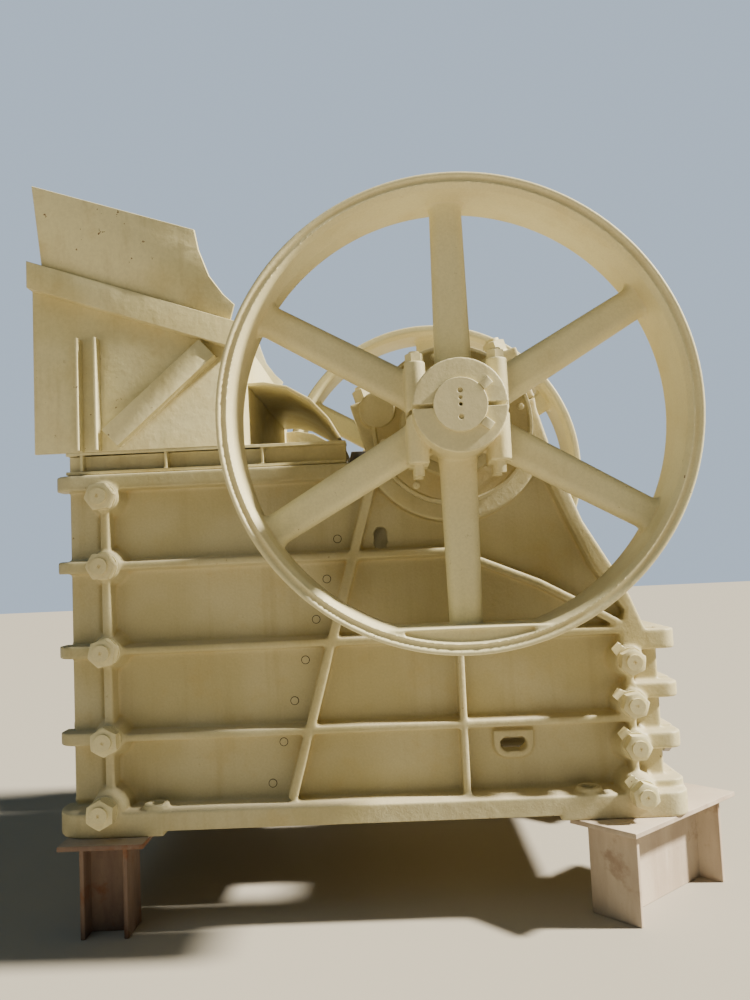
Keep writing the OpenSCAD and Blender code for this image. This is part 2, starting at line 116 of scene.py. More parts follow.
def mirrored(name, piece):    # the same piece on the other side of the machine
    mesh = piece.data.copy()
    mesh.transform(Matrix.Diagonal((1, -1, 1, 1)))
    mesh.flip_normals()
    return linkPiece(name, mesh)

# closed shells that a casting is made of, drawn on the near side; y counts from the middle plane

cutPast = 10    # mm that a cutter stands out of what it cuts

def closeShell(bm, low, high):    # two end faces and the sides between them
    bm.faces.new(low)
    bm.faces.new(high[::-1])
    for i in range(len(low)):
        j = (i + 1) % len(low)
        bm.faces.new((low[j], low[i], high[i], high[j]))

def shell(bm, outline, low, high, put):
    closeShell(bm, *[[bm.verts.new(put(u, v, w)) for u, v in outline] for w in (low, high)])

def acrossShell(bm, outline, y0, y1):    # outline in x and z
    shell(bm, outline, y0, y1, lambda x, z, y: at(x, -y, z))

def levelShell(bm, outline, z0, z1):    # outline in x and y
    shell(bm, outline, z0, z1, lambda x, y, z: at(x, -y, z))

def alongShell(bm, outline, x0, x1):    # outline in y and z
    shell(bm, outline, x0, x1, lambda y, z, x: at(x, -y, z))

def arc(cx, cy, r, start, end, steps=12):    # degrees
    turns = [radians(start + (end - start) * i / steps) for i in range(steps + 1)]
    return [(cx + r * cos(a), cy + r * sin(a)) for a in turns]

def circle(cx, cy, r, steps=36):
    return arc(cx, cy, r, 0, 360 - 360 / steps, steps - 1)

def bar(a, b, t):    # t thick, from a to b
    length = hypot(b[0] - a[0], b[1] - a[1])
    n = ((a[1] - b[1]) / length * t / 2, (b[0] - a[0]) / length * t / 2)
    return [(p[0] + s * n[0], p[1] + s * n[1]) for p, s in ((a, -1), (b, -1), (b, 1), (a, 1))]

def box(x0, x1, z0, z1):
    return [(x0, z0), (x1, z0), (x1, z1), (x0, z1)]

def drum(bm, x, z, r0, y0, y1, r1=None, steps=48):    # round boss or bore along y, a cone where r1 is given
    ends = ((r0, y0), (r1 or r0, y1))
    closeShell(bm, *[[bm.verts.new(at(px, -y, pz)) for px, pz in circle(x, z, r, steps)] for r, y in ends])

def slotOutline(x, z, w, h):    # round at both ends of its longer side
    r, level = min(w, h) / 2, w > h
    dx, dz = (w / 2 - r, 0) if level else (0, h / 2 - r)
    start = -90 if level else 0
    return arc(x + dx, z + dz, r, start, start + 180) + arc(x - dx, z - dz, r, start + 180, start + 360)

def lathe(bm, profile, steps=120):    # closed profile of radius and y, turned round the shaft
    rings = [[bm.verts.new(at(r * cos(a), -y, r * sin(a))) for r, y in profile]
             for a in (2 * pi * i / steps for i in range(steps))]
    for i in range(steps):
        for k in range(len(profile)):
            m, j = (k + 1) % len(profile), (i + 1) % steps
            bm.faces.new((rings[i][k], rings[j][k], rings[j][m], rings[i][m]))

def shellPiece(name, draw, *values):
    bm = bmesh.new()
    draw(bm, *values)
    bmesh.ops.recalc_face_normals(bm, faces=bm.faces)
    mesh = bpy.data.meshes.new(name)
    bm.to_mesh(mesh)
    bm.free()
    return linkPiece(name, mesh)

# rounds the edges and fills the corners as on a sand casting, and keeps what a cutter leaves
def castForm(piece, cast, cutter=None):
    skin = piece.modifiers.new("skin", "REMESH")
    skin.mode = "VOXEL"
    skin.voxel_size = cast["voxel"] * 1 / 1000
    if cutter:
        cut = piece.modifiers.new("cut", "BOOLEAN")
        cut.solver = "MANIFOLD"
        cut.object = cutter
    relax = piece.modifiers.new("relax", "SMOOTH")
    relax.factor = 0.5
    relax.iterations = cast["passes"]
    settle(piece)
    if cutter:
        bpy.data.objects.remove(cutter)
    unevenSkin(piece.data, cast["uneven"])
    thin = piece.modifiers.new("thin", "DECIMATE")
    thin.ratio = min(1, cast["triangles"] / (2 * len(piece.data.polygons)))
    settle(piece)
    piece.data.shade_smooth()
    return piece

skinNoise = ((5, 0.6), (19, 0.4))    # how fine each noise is, and its share

def unevenSkin(mesh, depth):    # the slight hollows of a cast face, always inwards
    normals = [v.vector.copy() for v in mesh.vertex_normals]
    for v, out in zip(mesh.vertices, normals):
        swell = sum(noise.noise(v.co * fine) * share for fine, share in skinNoise)
        v.co -= out * depth / 1000 * (0.5 + 0.5 * swell)

def cutBy(piece, cutter, solver="EXACT"):
    cut = piece.modifiers.new("cut", "BOOLEAN")
    cut.solver = solver
    cut.object = cutter
    settle(piece)
    bpy.data.objects.remove(cutter)
    return piece

crispEdge = {"flat": 0.6, "sharp": 35, "segments": 2}    # angles in degrees

def crispForm(piece, edge=2.5):    # plate and machined pieces with broken edges, width in mm
    flat = piece.modifiers.new("flat", "DECIMATE")
    flat.decimate_type = "DISSOLVE"
    flat.angle_limit = radians(crispEdge["flat"])
    broken = piece.modifiers.new("broken", "BEVEL")
    broken.width = edge / 1000
    broken.segments = crispEdge["segments"]
    broken.angle_limit = radians(crispEdge["sharp"])
    broken.harden_normals = True
    piece.data.shade_smooth()
    return settle(piece)

def dress(piece, finish, body="frame", hides=()):
    piece.data.materials.clear()
    piece.data.materials.append(finish)
    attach(piece, body)
    if hides:
        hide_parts(*hides)

# node trees, for finishes and for shapes

def addNode(tree, kind, inputs=None, **settings):
    made = tree.nodes.new(kind)
    for key, value in settings.items():
        setattr(made, key, value)
    for key, value in (inputs or {}).items():
        for part in value if isinstance(value, list) else [value]:
            if isinstance(part, bpy.types.NodeSocket):
                tree.links.new(part, made.inputs[key])
            else:
                made.inputs[key].default_value = part
    return made

def result(tree, kind, inputs=None, **settings):    # a new node's first output
    return addNode(tree, kind, inputs, **settings).outputs[0]

def calc(tree, what, a, b=0.0, c=0.0):
    return result(tree, "ShaderNodeMath", {0: a, 1: b, 2: c}, operation=what)

def plus(tree, a, b):
    return calc(tree, "ADD", a, b)

def minus(tree, a, b):
    return calc(tree, "SUBTRACT", a, b)

def times(tree, a, b):
    return calc(tree, "MULTIPLY", a, b)

def halfOf(tree, value):
    return calc(tree, "MULTIPLY", value, 0.5)

def speckle(tree, place, scale, detail, rough=0.6):
    settings = {"Vector": place, "Scale": scale, "Detail": detail, "Roughness": rough}
    return result(tree, "ShaderNodeTexNoise", settings)

def between(tree, value, low, high, start=0.0, end=1.0):    # smooth step from low to high
    levels = {"Value": value, "From Min": low, "From Max": high, "To Min": start, "To Max": end}
    return result(tree, "ShaderNodeMapRange", levels, interpolation_type="SMOOTHSTEP")

def blendTone(tree, share, a, b):
    mix = addNode(tree, "ShaderNodeMix", {0: share}, data_type="RGBA")
    for key, tone in ((6, a), (7, b)):
        if isinstance(tone, tuple):
            mix.inputs[key].default_value = (*tone, 1)
        else:
            tree.links.new(tone, mix.inputs[key])
    return mix.outputs[2]

def stretched(tree, place, scale):
    return result(tree, "ShaderNodeMapping", {"Vector": place, "Scale": scale})

def newFinish(name, metal=0.0, shine=0.4):
    finish = bpy.data.materials.new(name)
    finish.use_nodes = True
    tree = finish.node_tree
    surface = tree.nodes["Principled BSDF"]
    surface.inputs["Metallic"].default_value = metal
    surface.inputs["Specular IOR Level"].default_value = shine
    return finish, tree, surface

def giveBump(tree, surface, height, depth):    # depth in mm
    bump = result(tree, "ShaderNodeBump", {"Height": height, "Strength": 1.0, "Distance": depth / 1000})
    tree.links.new(bump, surface.inputs["Normal"])

def skinPlace(tree):    # place on the piece, and how far its skin faces up
    coords = addNode(tree, "ShaderNodeTexCoord")
    upward = addNode(tree, "ShaderNodeSeparateXYZ", {0: coords.outputs["Normal"]}).outputs[2]
    return coords.outputs["Object"], upward

def paintFinish(name, look):    # brushed-on cream paint with dust, runs, rubbed edges, and inner corners darkened as painted shade with some dirt
    finish, tree, surface = newFinish(name, shine=look["shine"])
    place, upward = skinPlace(tree)
    relief = addNode(tree, "ShaderNodeNewGeometry").outputs["Pointiness"]
    broad = speckle(tree, place, look["broadScale"], 3.0)
    patch = speckle(tree, place, look["patchScale"], 5.0)
    grain = speckle(tree, place, look["grain"], 6.0, 0.65)
    streaks = speckle(tree, stretched(tree, place, look["runScale"]), 1.0, 5.0)
    flake = speckle(tree, place, look["flakeScale"], 3.0, 0.7)
    dents = between(tree, speckle(tree, place, look["dentScale"], 3.0), 0.3, 0.75)
    # paler and warmer patches
    tone = blendTone(tree, between(tree, broad, 0.38, 0.62), look["base"], look["pale"])
    tone = blendTone(tree, between(tree, patch, 0.5, 0.78, 0.0, look["mottle"]), tone, look["warm"])
    # runs on upright faces
    upright = minus(tree, 1.0, calc(tree, "ABSOLUTE", upward))
    runs = times(tree, between(tree, streaks, 0.5, 0.75, 0.0, look["runs"]), upright)
    tone = blendTone(tree, runs, tone, look["grime"])
    # inner corners darkened towards the warm tone: painted shade, with some dirt
    corner = between(tree, relief, 0.5, 0.44, 0.0, look["corner"])
    corner = times(tree, corner, between(tree, patch, 0.3, 0.6, 0.6, 1.0))
    tone = blendTone(tree, corner, tone, look["warm"])
    # dust on what faces up
    settled = times(tree, between(tree, upward, 0.55, 0.95), between(tree, patch, 0.25, 0.6, 0.35, 1.0))
    tone = blendTone(tree, times(tree, settled, look["dusty"]), tone, look["dust"])
    # rubbed edges
    rubbed = times(tree, between(tree, relief, 0.505, 0.56), between(tree, patch, 0.35, 0.65, 0.3, 1.0))
    tone = blendTone(tree, times(tree, rubbed, look["rubbed"]), tone, look["pale"])
    # chips down to rust, mostly on edges
    chipped = times(tree, between(tree, flake, 0.68, 0.7), between(tree, broad, 0.5, 0.62))
    chipped = times(tree, chipped, between(tree, relief, 0.495, 0.515, look["chips"], 1.0))
    tone = blendTone(tree, chipped, tone, look["rust"])
    fine = between(tree, grain, 0.3, 0.7, 0.94, 1.04)
    shade = result(tree, "ShaderNodeHueSaturation", {"Value": fine, "Color": tone})
    tree.links.new(shade, surface.inputs["Base Color"])
    dull = between(tree, patch, 0.3, 0.7, look["dull"] - 0.08, look["dull"] + 0.1)
    tree.links.new(plus(tree, dull, times(tree, settled, 0.2)), surface.inputs["Roughness"])
    height = plus(tree, times(tree, grain, look["cast"]), times(tree, dents, look["dents"]))
    height = minus(tree, height, times(tree, chipped, 0.35))
    giveBump(tree, surface, height, look["depth"])
    return finish

# tones, then the scales of the noises, then how much of each effect shows; depth is in mm
creamLook = {
    "base": (0.62, 0.53, 0.26), "pale": (0.71, 0.64, 0.37), "warm": (0.46, 0.32, 0.10),
    "grime": (0.35, 0.27, 0.12), "dust": (0.57, 0.49, 0.33), "rust": (0.13, 0.055, 0.025),
    "broadScale": 1.3, "patchScale": 6.5, "runScale": (16, 16, 1.1), "flakeScale": 34.0, "dentScale": 17.0,
    "grain": 110.0,
    # corner sets how strongly inner corners are darkened: painted shade, with some dirt
    "cast": 0.55, "dents": 0.6, "mottle": 0.3, "runs": 0.28, "corner": 0.6, "dusty": 0.55,
    "rubbed": 0.55, "chips": 0.05, "depth": 1.6, "dull": 0.5, "shine": 0.35,
}
# the castings take a darker base and pale than the other cream paints: painted shade, as their ribbed panels
# sit in shade
castPaint = paintFinish("castCreamPaint", dict(
    creamLook, base=(0.46, 0.395, 0.195), pale=(0.54, 0.48, 0.28)))
platePaint = paintFinish("plateCreamPaint", dict(
    creamLook, cast=0.12, dents=0.5, grain=60.0, corner=0.0, rubbed=0.0, runs=0.35, dull=0.42, chips=0.12))
wheelPaint = paintFinish("wheelCreamPaint", dict(
    creamLook, base=(0.67, 0.59, 0.33), cast=0.4, dents=0.35, runs=0.1, dusty=0.3, mottle=0.2))
# bolts take a stronger painted shade in their inner corners
boltPaint = paintFinish("boltCreamPaint", dict(
    creamLook, base=(0.66, 0.58, 0.33), cast=0.3, dents=0.2, corner=0.9, rubbed=0.3, dusty=0.2))

def metalFinish(name, look):    # oiled, worn or rusted steel
    finish, tree, surface = newFinish(name, look["metal"], 0.5)
    place, upward = skinPlace(tree)
    patch = speckle(tree, place, look["patch"], 6.0, 0.65)
    drag = speckle(tree, stretched(tree, place, look["drag"]), 1.0, 4.0)
    grain = speckle(tree, place, look["grain"], 5.0, 0.7)
    tone = blendTone(tree, between(tree, drag, 0.35, 0.65), look["base"], look["pale"])
    stained = between(tree, patch, look["cover"], look["cover"] + 0.14)
    tone = blendTone(tree, stained, tone, look["rust"])
    tone = blendTone(tree, between(tree, grain, 0.55, 0.8, 0.0, 0.5), tone, look["dark"])
    settled = between(tree, upward, 0.4, 0.95, 0.0, look["dusty"])
    settled = times(tree, settled, between(tree, patch, 0.3, 0.55, 0.5, 1.0))
    tone = blendTone(tree, settled, tone, look["dust"])
    tree.links.new(tone, surface.inputs["Base Color"])
    dull = between(tree, patch, 0.3, 0.7, look["dull"] - 0.12, look["dull"] + 0.15)
    tree.links.new(dull, surface.inputs["Roughness"])
    height = plus(tree, times(tree, grain, 0.5), times(tree, drag, look["scored"]))
    giveBump(tree, surface, plus(tree, height, times(tree, stained, 0.4)), look["depth"])
    return finish

# "patch", "grain" and "drag" are scales; rust starts at "cover", so less of it shows where that is high
rustLook = {
    "base": (0.16, 0.10, 0.07), "pale": (0.24, 0.16, 0.11), "rust": (0.20, 0.09, 0.045),
    "dark": (0.05, 0.035, 0.03), "dust": (0.52, 0.43, 0.32),
    "patch": 5.0, "grain": 120.0, "drag": (9, 9, 2), "scored": 0.3, "depth": 1.4,
    "metal": 0.0, "cover": 0.5, "dusty": 0.8, "dull": 0.75,
}
# the front supports' rusty steel is darker and the rear supports' dusty steel paler: painted shade on the
# front and painted light on the rear, over their own rust and dust
rustyShadedSteel = metalFinish("rustyShadedSteel", rustLook)
dustyLitSteel = metalFinish("dustyLitSteel", dict(
    rustLook, base=(0.42, 0.33, 0.24), pale=(0.52, 0.43, 0.32), rust=(0.33, 0.24, 0.165),
    dark=(0.28, 0.2, 0.14), cover=0.58))
wornCasting = metalFinish("wornCasting", dict(
    rustLook, base=(0.17, 0.155, 0.14), pale=(0.28, 0.26, 0.24), metal=0.7, drag=(30, 30, 2),
    cover=0.62, dusty=0.4, dull=0.45, scored=0.8))
oiledSteel = metalFinish("oiledSteel", dict(
    rustLook, base=(0.28, 0.26, 0.24), pale=(0.4, 0.38, 0.35), metal=0.85, drag=(3, 60, 60),
    cover=0.6, dusty=0.2, dull=0.38, depth=0.5))
# near black steel: painted shade of the gap round each plug, on a flat disc
paintedGapShade = metalFinish("paintedGapShade", dict(
    rustLook, base=(0.03, 0.024, 0.018), pale=(0.06, 0.045, 0.03), rust=(0.08, 0.05, 0.03),
    dark=(0.01, 0.01, 0.01), cover=0.6, dusty=0.1))
print("finishes made")

# castings

# from the shaft: frontX, earX, postX and padX to the front, every other x to the rear; topZ, baseZ, ribs,
# ears and bolts down; pairs of a line or a place are x and z, or x and y for holdDowns
sideCast = {
    "frontX": 1632, "earX": 1686, "postX": 1463, "rearX": 808, "rearEarX": 872, "rearBoltX": 672,
    "topZ": 130, "baseZ": 1600, "bite": 8,
    "topFlange": 66, "footThick": 97, "footRound": 85, "relief": (-1232, 350, 20),
    "ribs": [516, 868, 1222], "ribThick": 29, "ribDraft": 8, "earThick": 52, "postWidth": 38,
    "rearEars": [(910, 80), (1115, 64), (1316, 68), (1535, 130)],
    "rearRound": 62, "rearLap": 20, "rearWeb": 30,
    "padX": 1511, "padThick": 12, "padCorner": 45, "padGap": 22,
    "seatRadius": 395, "seatArc": (199, 342), "barrel": 235.5, "horn": (353.8, 108.2), "hornToe": 20,
    "slope": [(359, 60), (416, -139), (519, -413), (626, -601), (694, -731), (744, -861), (770, -893)],
    "slopeInner": [(638, -950), (640, -900), (668, -788), (545, -604), (477, -453), (307, -55)],
    "leanRib": [(-340, -208), (-721, -1494)], "leanWidth": 40,
    "dropRib": [(-10, -868), (-10, -1540)], "dropWidth": 30,
    "rearRib": [(-20, -516), (329, -664), (527, -774), (650, -845)], "rearRibWidth": 33,
    "frontBolts": [228, 516, 868, 1222, 1490], "frontBoss": (60, 82),
    "rearBolts": [992, 1163, 1329, 1502], "rearBoss": (58, 80), "bossOut": 10,
    "sightSlot": (-317, -448, 50, 90), "sightOval": (194, -1317, 107, 54), "sightBoss": (165, 112),
    "sightRise": 23,
    "holdDowns": [(-1272, 780), (475, 780)],
    "holdRadius": 26, "holdStart": 28, "holdWall": 26, "holdRise": 22,
}

def bossEnd(z, c):    # bolts level with the foot flange sit on longer bosses
    low = z > c["baseZ"] - c["footThick"] - 40
    return (layer["foot"] if low else layer["rib"]) + c["bossOut"]

def frontEar(bm, z, thick, face, c):    # wraps from the post round the corner to the front
    root = layer["plate"] - c["bite"]
    r = face - root
    turn = arc(r - c["earX"], root, r, 180, 90)
    inner = [(-c["postX"], face), (-c["postX"], root), (1 - c["frontX"], root),
             (1 - c["frontX"], layer["sideIn"]), (-c["earX"], layer["sideIn"])]
    levelShell(bm, turn + inner, -z - thick / 2, -z + thick / 2)

def rearEar(bm, z, thick, c):
    r, x, start = c["rearRound"], c["rearX"] - 1, c["rearBoltX"] - c["rearLap"]
    root = layer["plate"] - c["bite"] / 2
    turn = arc(c["rearEarX"] - r, layer["rib"] - r, r, 0, 90)
    inner = [(start, layer["rib"]), (start, root), (x, root),
             (x, layer["sideIn"]), (c["rearEarX"], layer["sideIn"])]
    levelShell(bm, turn + inner, -z - thick / 2, -z + thick / 2)

def drawSideFrame(bm, c):
    plate, rib, foot, base = layer["plate"] - 1, layer["rib"], layer["foot"], -c["baseZ"]
    hornX, hornZ = c["horn"]
    toeX, postX, footTop = -hornX - c["hornToe"], -c["postX"] - 1, base + c["footThick"]
    slope = [(hornX, hornZ), *c["slope"], (c["rearX"], c["slope"][-1][1])]
    outline = [(-c["frontX"], base), (-c["frontX"], -c["topZ"]), (toeX, -c["topZ"]), (-hornX, -hornZ),
               *slope, (c["rearX"], base)]
    acrossShell(bm, outline, layer["sideIn"], layer["plate"])
    # top flange, ribs and foot flange, each with its ears
    frontEar(bm, c["topZ"] + c["topFlange"] / 2, c["topFlange"], rib, c)
    acrossShell(bm, box(postX, toeX, -c["topZ"] - c["topFlange"], -c["topZ"]), plate, rib)
    edge = c["ribThick"] / 2
    root = edge + c["ribDraft"]
    for z, end in zip(c["ribs"], (c["rearRib"][0][0], c["rearBoltX"], c["rearBoltX"])):
        frontEar(bm, z, c["earThick"], rib, c)
        drafted = [(plate, -z - root), (rib, -z - edge), (rib, -z + edge), (plate, -z + root)]
        alongShell(bm, drafted, postX, end)
    frontEar(bm, c["baseZ"] - c["footThick"] / 2, c["footThick"], foot, c)
    cornerX = c["rearEarX"] - c["footRound"]
    acrossShell(bm, box(postX, cornerX, base, footTop), plate, foot)
    levelShell(bm, circle(cornerX, foot - c["footRound"], c["footRound"]), base, footTop)
    for z, thick in c["rearEars"]:
        rearEar(bm, z, thick, c)
    # thicker strip of plate in front of each panel
    levels = [c["topZ"]] + c["ribs"] + [c["baseZ"] - c["footThick"]]
    for above, below in zip(levels, levels[1:]):
        low, high, k = c["padGap"] - below, -c["padGap"] - above, c["padCorner"]
        pad = [(-c["frontX"], low), (-c["frontX"], high), (k - c["padX"], high), (-c["padX"], high - k),
               (-c["padX"], low + k), (k - c["padX"], low)]
        acrossShell(bm, pad, plate, plate + 1 + c["padThick"])
    # bearing seat, post, sloping ribs and the band along the rear slope
    seat = arc(0, 0, c["seatRadius"], *c["seatArc"], 40)
    acrossShell(bm, seat + [c["slope"][0], (hornX, hornZ), (-hornX, -hornZ)], plate, rib)
    post = bar((-c["postX"], base + 10), (-c["postX"], -c["topZ"] - 10), c["postWidth"])
    web = bar((c["rearBoltX"], -c["rearEars"][0][0]), (c["rearBoltX"], base + 10), c["rearWeb"])
    slanting = [bar(*c["leanRib"], c["leanWidth"]), bar(*c["dropRib"], c["dropWidth"])]
    slanting += [bar(a, b, c["rearRibWidth"]) for a, b in zip(c["rearRib"], c["rearRib"][1:])]
    for line in (post, *slanting, web):
        acrossShell(bm, line, plate, rib)
    band = slope + [(c["rearX"], c["slopeInner"][0][1]), *c["slopeInner"]]
    acrossShell(bm, band, plate, rib)
    # bosses
    for x, end in ((-c["postX"], "front"), (c["rearBoltX"], "rear")):
        top, bottom = c[end + "Boss"]
        for z in c[end + "Bolts"]:
            drum(bm, x, -z, bottom, plate, bossEnd(z, c), top)
    ox, oz = c["sightOval"][:2]
    w, h = c["sightBoss"]
    for form in (box(ox - w / 2, ox + w / 2, oz, oz + h / 2), slotOutline(ox, oz, w, h)):
        acrossShell(bm, form, plate, plate + c["sightRise"])
    for x, y in c["holdDowns"]:
        levelShell(bm, circle(x, y, c["holdRadius"] + c["holdWall"]), footTop - 5, footTop + c["holdRise"])

def drawSideCuts(bm, c):
    inside, outside, base = layer["sideIn"] - cutPast, layer["foot"] + cutPast, -c["baseZ"]
    drum(bm, 0, 0, c["barrel"], inside, outside, steps=120)
    acrossShell(bm, slotOutline(*c["sightSlot"]), inside, outside)
    acrossShell(bm, slotOutline(*c["sightOval"]), inside, outside)
    x0, x1, deep = c["relief"]
    acrossShell(bm, box(x0, x1, base - 5, base + deep), inside, outside)
    for x, y in c["holdDowns"]:
        top = base + c["footThick"] + 4 * cutPast
        levelShell(bm, circle(x, y, c["holdRadius"]), base + c["holdStart"], top)

capCast = {    # lobe: place from the shaft along and off the split line, and radius
    "tilt": 17, "archRadius": 300, "studAcross": 295, "lugWidth": 150, "lugHeight": 228,
    "lobe": (-268, 162, 76), "lobeRise": 4, "lobeScrew": -293, "studSeat": 712,
}

def tilted(c, u, v):    # from the split line's own directions to x and z
    a = radians(c["tilt"])
    return (u * cos(a) - v * sin(a), u * sin(a) + v * cos(a))

def drawCap(bm, c):
    arch = arc(0, 1, c["archRadius"], 0, 180, 60)
    half = c["lugWidth"] / 2
    lugs = [box(x - half, x + half, 1, c["lugHeight"]) for x in (-c["studAcross"], c["studAcross"])]
    for outline in (arch, *lugs):
        acrossShell(bm, [tilted(c, u, v) for u, v in outline], layer["sideIn"], layer["rib"])
    u, v, r = c["lobe"]
    drum(bm, *tilted(c, u, v), r, layer["rib"] - 2, layer["cover"] + c["lobeRise"])

def drawCapCut(bm, c):
    drum(bm, 0, 0, c["barrel"], layer["sideIn"] - cutPast, layer["cover"] + 4 * cutPast, steps=120)

# radii of the bearing cover, the width of its ring, the recess inside that, and the raised boss
housingProfile = {
    "bore": 130.5, "barrel": 235, "flange": 330, "ring": 14, "recess": 8, "recessDraft": (6, 8),
    "boss": 209, "bossRise": 6, "bossSlope": (26, 20),
}

def drawHousing(bm, h):
    inside, back, face = layer["sideIn"], layer["flange"], layer["cover"]
    bore, ring, top, floor = h["bore"], h["flange"] - h["ring"], face + h["bossRise"], face - h["recess"]
    lathe(bm, [(bore, inside), (h["barrel"], inside), (h["barrel"], back), (h["flange"], back),
               (h["flange"], face), (ring, face), (ring - h["recessDraft"][0], floor),
               (h["boss"] + h["recessDraft"][1], floor), (h["boss"], top), (bore + h["bossSlope"][0], top),
               (bore + h["bossSlope"][1], face), (bore, face)])

castSizes = {    # voxel and uneven in mm, passes of smoothing
    "side_frame": {"voxel": 6.0, "passes": 8, "uneven": 0.8, "triangles": 130000},
    "bearing_cap": {"voxel": 5.0, "passes": 8, "uneven": 0.8, "triangles": 30000},
    "front_frame": {"voxel": 8.0, "passes": 6, "uneven": 1.0, "triangles": 80000},
    "rear_frame": {"voxel": 8.0, "passes": 6, "uneven": 1.0, "triangles": 60000},
    "pitman": {"voxel": 9.0, "passes": 7, "uneven": 1.0, "triangles": 60000},
    "toggle_seat_block": {"voxel": 6.0, "passes": 5, "uneven": 0.6, "triangles": 20000},
    "flywheel": {"voxel": 4.5, "passes": 6, "uneven": 0.5, "triangles": 150000},
}

def bothSides(near, finish, body, part):    # the far piece mirrors the near one
    far = mirrored(near.name.replace("Near", "Far"), near)
    dress(near, finish, body, hides=[part + "_near"])
    dress(far, finish, body, hides=[part + "_far"])

def makeCastings(sizes):
    frameShells = shellPiece("sideFrameNear", drawSideFrame, sideCast)
    frameCuts = shellPiece("sideCuts", drawSideCuts, sideCast)
    bothSides(castForm(frameShells, sizes["side_frame"], frameCuts), castPaint, "frame", "side_frame")
    capShells = shellPiece("bearingCapNear", drawCap, capCast)
    capCuts = shellPiece("capCuts", drawCapCut, sideCast)
    bothSides(castForm(capShells, sizes["bearing_cap"], capCuts), castPaint, "frame", "bearing_cap")
    cover = shellPiece("bearingCoverNear", drawHousing, housingProfile)
    bothSides(crispForm(cover, 2), castPaint, "frame", "bearing_housing")
    for part in ("front_frame", "rear_frame", "toggle_seat_block"):
        dress(castForm(solidOf(part + "Casting", part), sizes[part]), castPaint, hides=[part])
    pitman = castForm(solidOf("pitmanCasting", "pitman"), sizes["pitman"])
    dress(pitman, castPaint, "pitman_body", hides=["pitman"])

makeCastings(castSizes)
print("castings made")

# geometry node trees: inputs in mm become metres, whole numbers are counts

def startTree(name, sizes):
    tree = bpy.data.node_groups.new(name, "GeometryNodeTree")
    tree.interface.new_socket("Geometry", in_out="INPUT", socket_type="NodeSocketGeometry")
    tree.interface.new_socket("Geometry", in_out="OUTPUT", socket_type="NodeSocketGeometry")
    for label, value in sizes.items():
        kind = "NodeSocketInt" if isinstance(value, int) else "NodeSocketFloat"
        tree.interface.new_socket(label, in_out="INPUT", socket_type=kind)
    tree.interface.new_socket("Finish", in_out="INPUT", socket_type="NodeSocketMaterial")
    return tree, addNode(tree, "NodeGroupInput").outputs

def endTree(tree, given, item):
    real = result(tree, "GeometryNodeRealizeInstances", {0: item})
    coated = result(tree, "GeometryNodeSetMaterial", {"Geometry": real, "Material": given["Finish"]})
    addNode(tree, "NodeGroupOutput", {0: coated})

def growPiece(name, host, tree, sizes, finish, sharp=32):    # the tree starts from the host's mesh
    piece = linkPiece(name, host)
    grow = piece.modifiers.new("grow", "NODES")
    grow.node_group = tree
    for socket in tree.interface.items_tree:
        if socket.in_out == "INPUT" and socket.name == "Finish":
            grow[socket.identifier] = finish
        elif socket.in_out == "INPUT" and socket.name in sizes:
            value = sizes[socket.name]
            grow[socket.identifier] = value if isinstance(value, int) else value / 1000
    settle(piece)
    piece.data.shade_smooth()
    piece.data.set_sharp_from_angle(angle=radians(sharp))
    return piece

def vector(tree, x=0.0, y=0.0, z=0.0):
    return result(tree, "ShaderNodeCombineXYZ", {0: x, 1: y, 2: z})

def moved(tree, item, x=0.0, y=0.0, z=0.0):
    return result(tree, "GeometryNodeTransform", {"Geometry": item, "Translation": vector(tree, x, y, z)})

def joined(tree, *items):
    return result(tree, "GeometryNodeJoinGeometry", {0: list(items)})

def takenFrom(tree, item, cutter):
    both = {0: item, 1: cutter}
    return result(tree, "GeometryNodeMeshBoolean", both, operation="DIFFERENCE", solver="EXACT")

def sharedBy(tree, *items):
    return result(tree, "GeometryNodeMeshBoolean", {1: list(items)}, operation="INTERSECT", solver="EXACT")

def cylinder(tree, radius, depth, sides):
    return result(tree, "GeometryNodeMeshCylinder", {"Vertices": sides, "Radius": radius, "Depth": depth})

def cuboid(tree, x, y, z):
    return result(tree, "GeometryNodeMeshCube", {"Size": vector(tree, x, y, z)})

def roundCurve(tree, radius, points):
    return result(tree, "GeometryNodeCurvePrimitiveCircle", {"Resolution": points, "Radius": radius})

def slotCurve(tree, width, height, corner):    # a rectangle with round corners
    flat = result(tree, "GeometryNodeCurvePrimitiveQuadrilateral", {"Width": width, "Height": height})
    return result(tree, "GeometryNodeFilletCurve", {"Curve": flat, "Count": 8, "Radius": corner}, mode="POLY")

def straightCurve(tree, y0, y1, z):
    ends = {"Start": vector(tree, 0.0, y0, z), "End": vector(tree, 0.0, y1, z)}
    return result(tree, "GeometryNodeCurvePrimitiveLine", ends)

def swept(tree, path, profile, capped=True):
    both = {"Curve": path, "Profile Curve": profile, "Fill Caps": capped}
    return result(tree, "GeometryNodeCurveToMesh", both)

# flywheels: a rim section swept round the shaft, spokes set round it, hub, lugs and counterweight

wheelSizes = {
    "Rim radius": 900.0, "Hub radius": 173.0, "Hub start": 860.0, "Hub end": 1278.0, "Spokes": 6,
    "Spoke width": 146.0, "Spoke thickness": 86.0, "Spoke place": 1027.5, "Rim inside": 842.0,
    "Lug spread": 306.0, "Lug height": 384.0, "Lug width": 80.0, "Lug depth": 240.0, "Lug place": 1060.0,
    "Weight radius": 852.0, "Weight flat": 797.0, "Weight start": 894.0, "Weight end": 1190.0,
    "Pocket width": 472.0, "Pocket depth": 14.0,
}
rimSection = {"lip": 16, "groove": 9, "bevel": (18, 30), "ridge": 6, "thick": 58, "corner": 4}
spokeForm = {    # shares of the spoke's own sizes, and how far it runs into the hub and the rim, m
    "corner": 0.48, "taper": 0.137, "hubFlare": 0.12, "rimFlare": 0.6, "intoHub": 0.03, "intoRim": 0.012,
}
hubSlot = {    # end: how far out and down the split between the hub's halves goes
    "width": 15, "end": (215, 24), "bore": 98.5, "mouth": 103, "mouthDepth": 24,
}

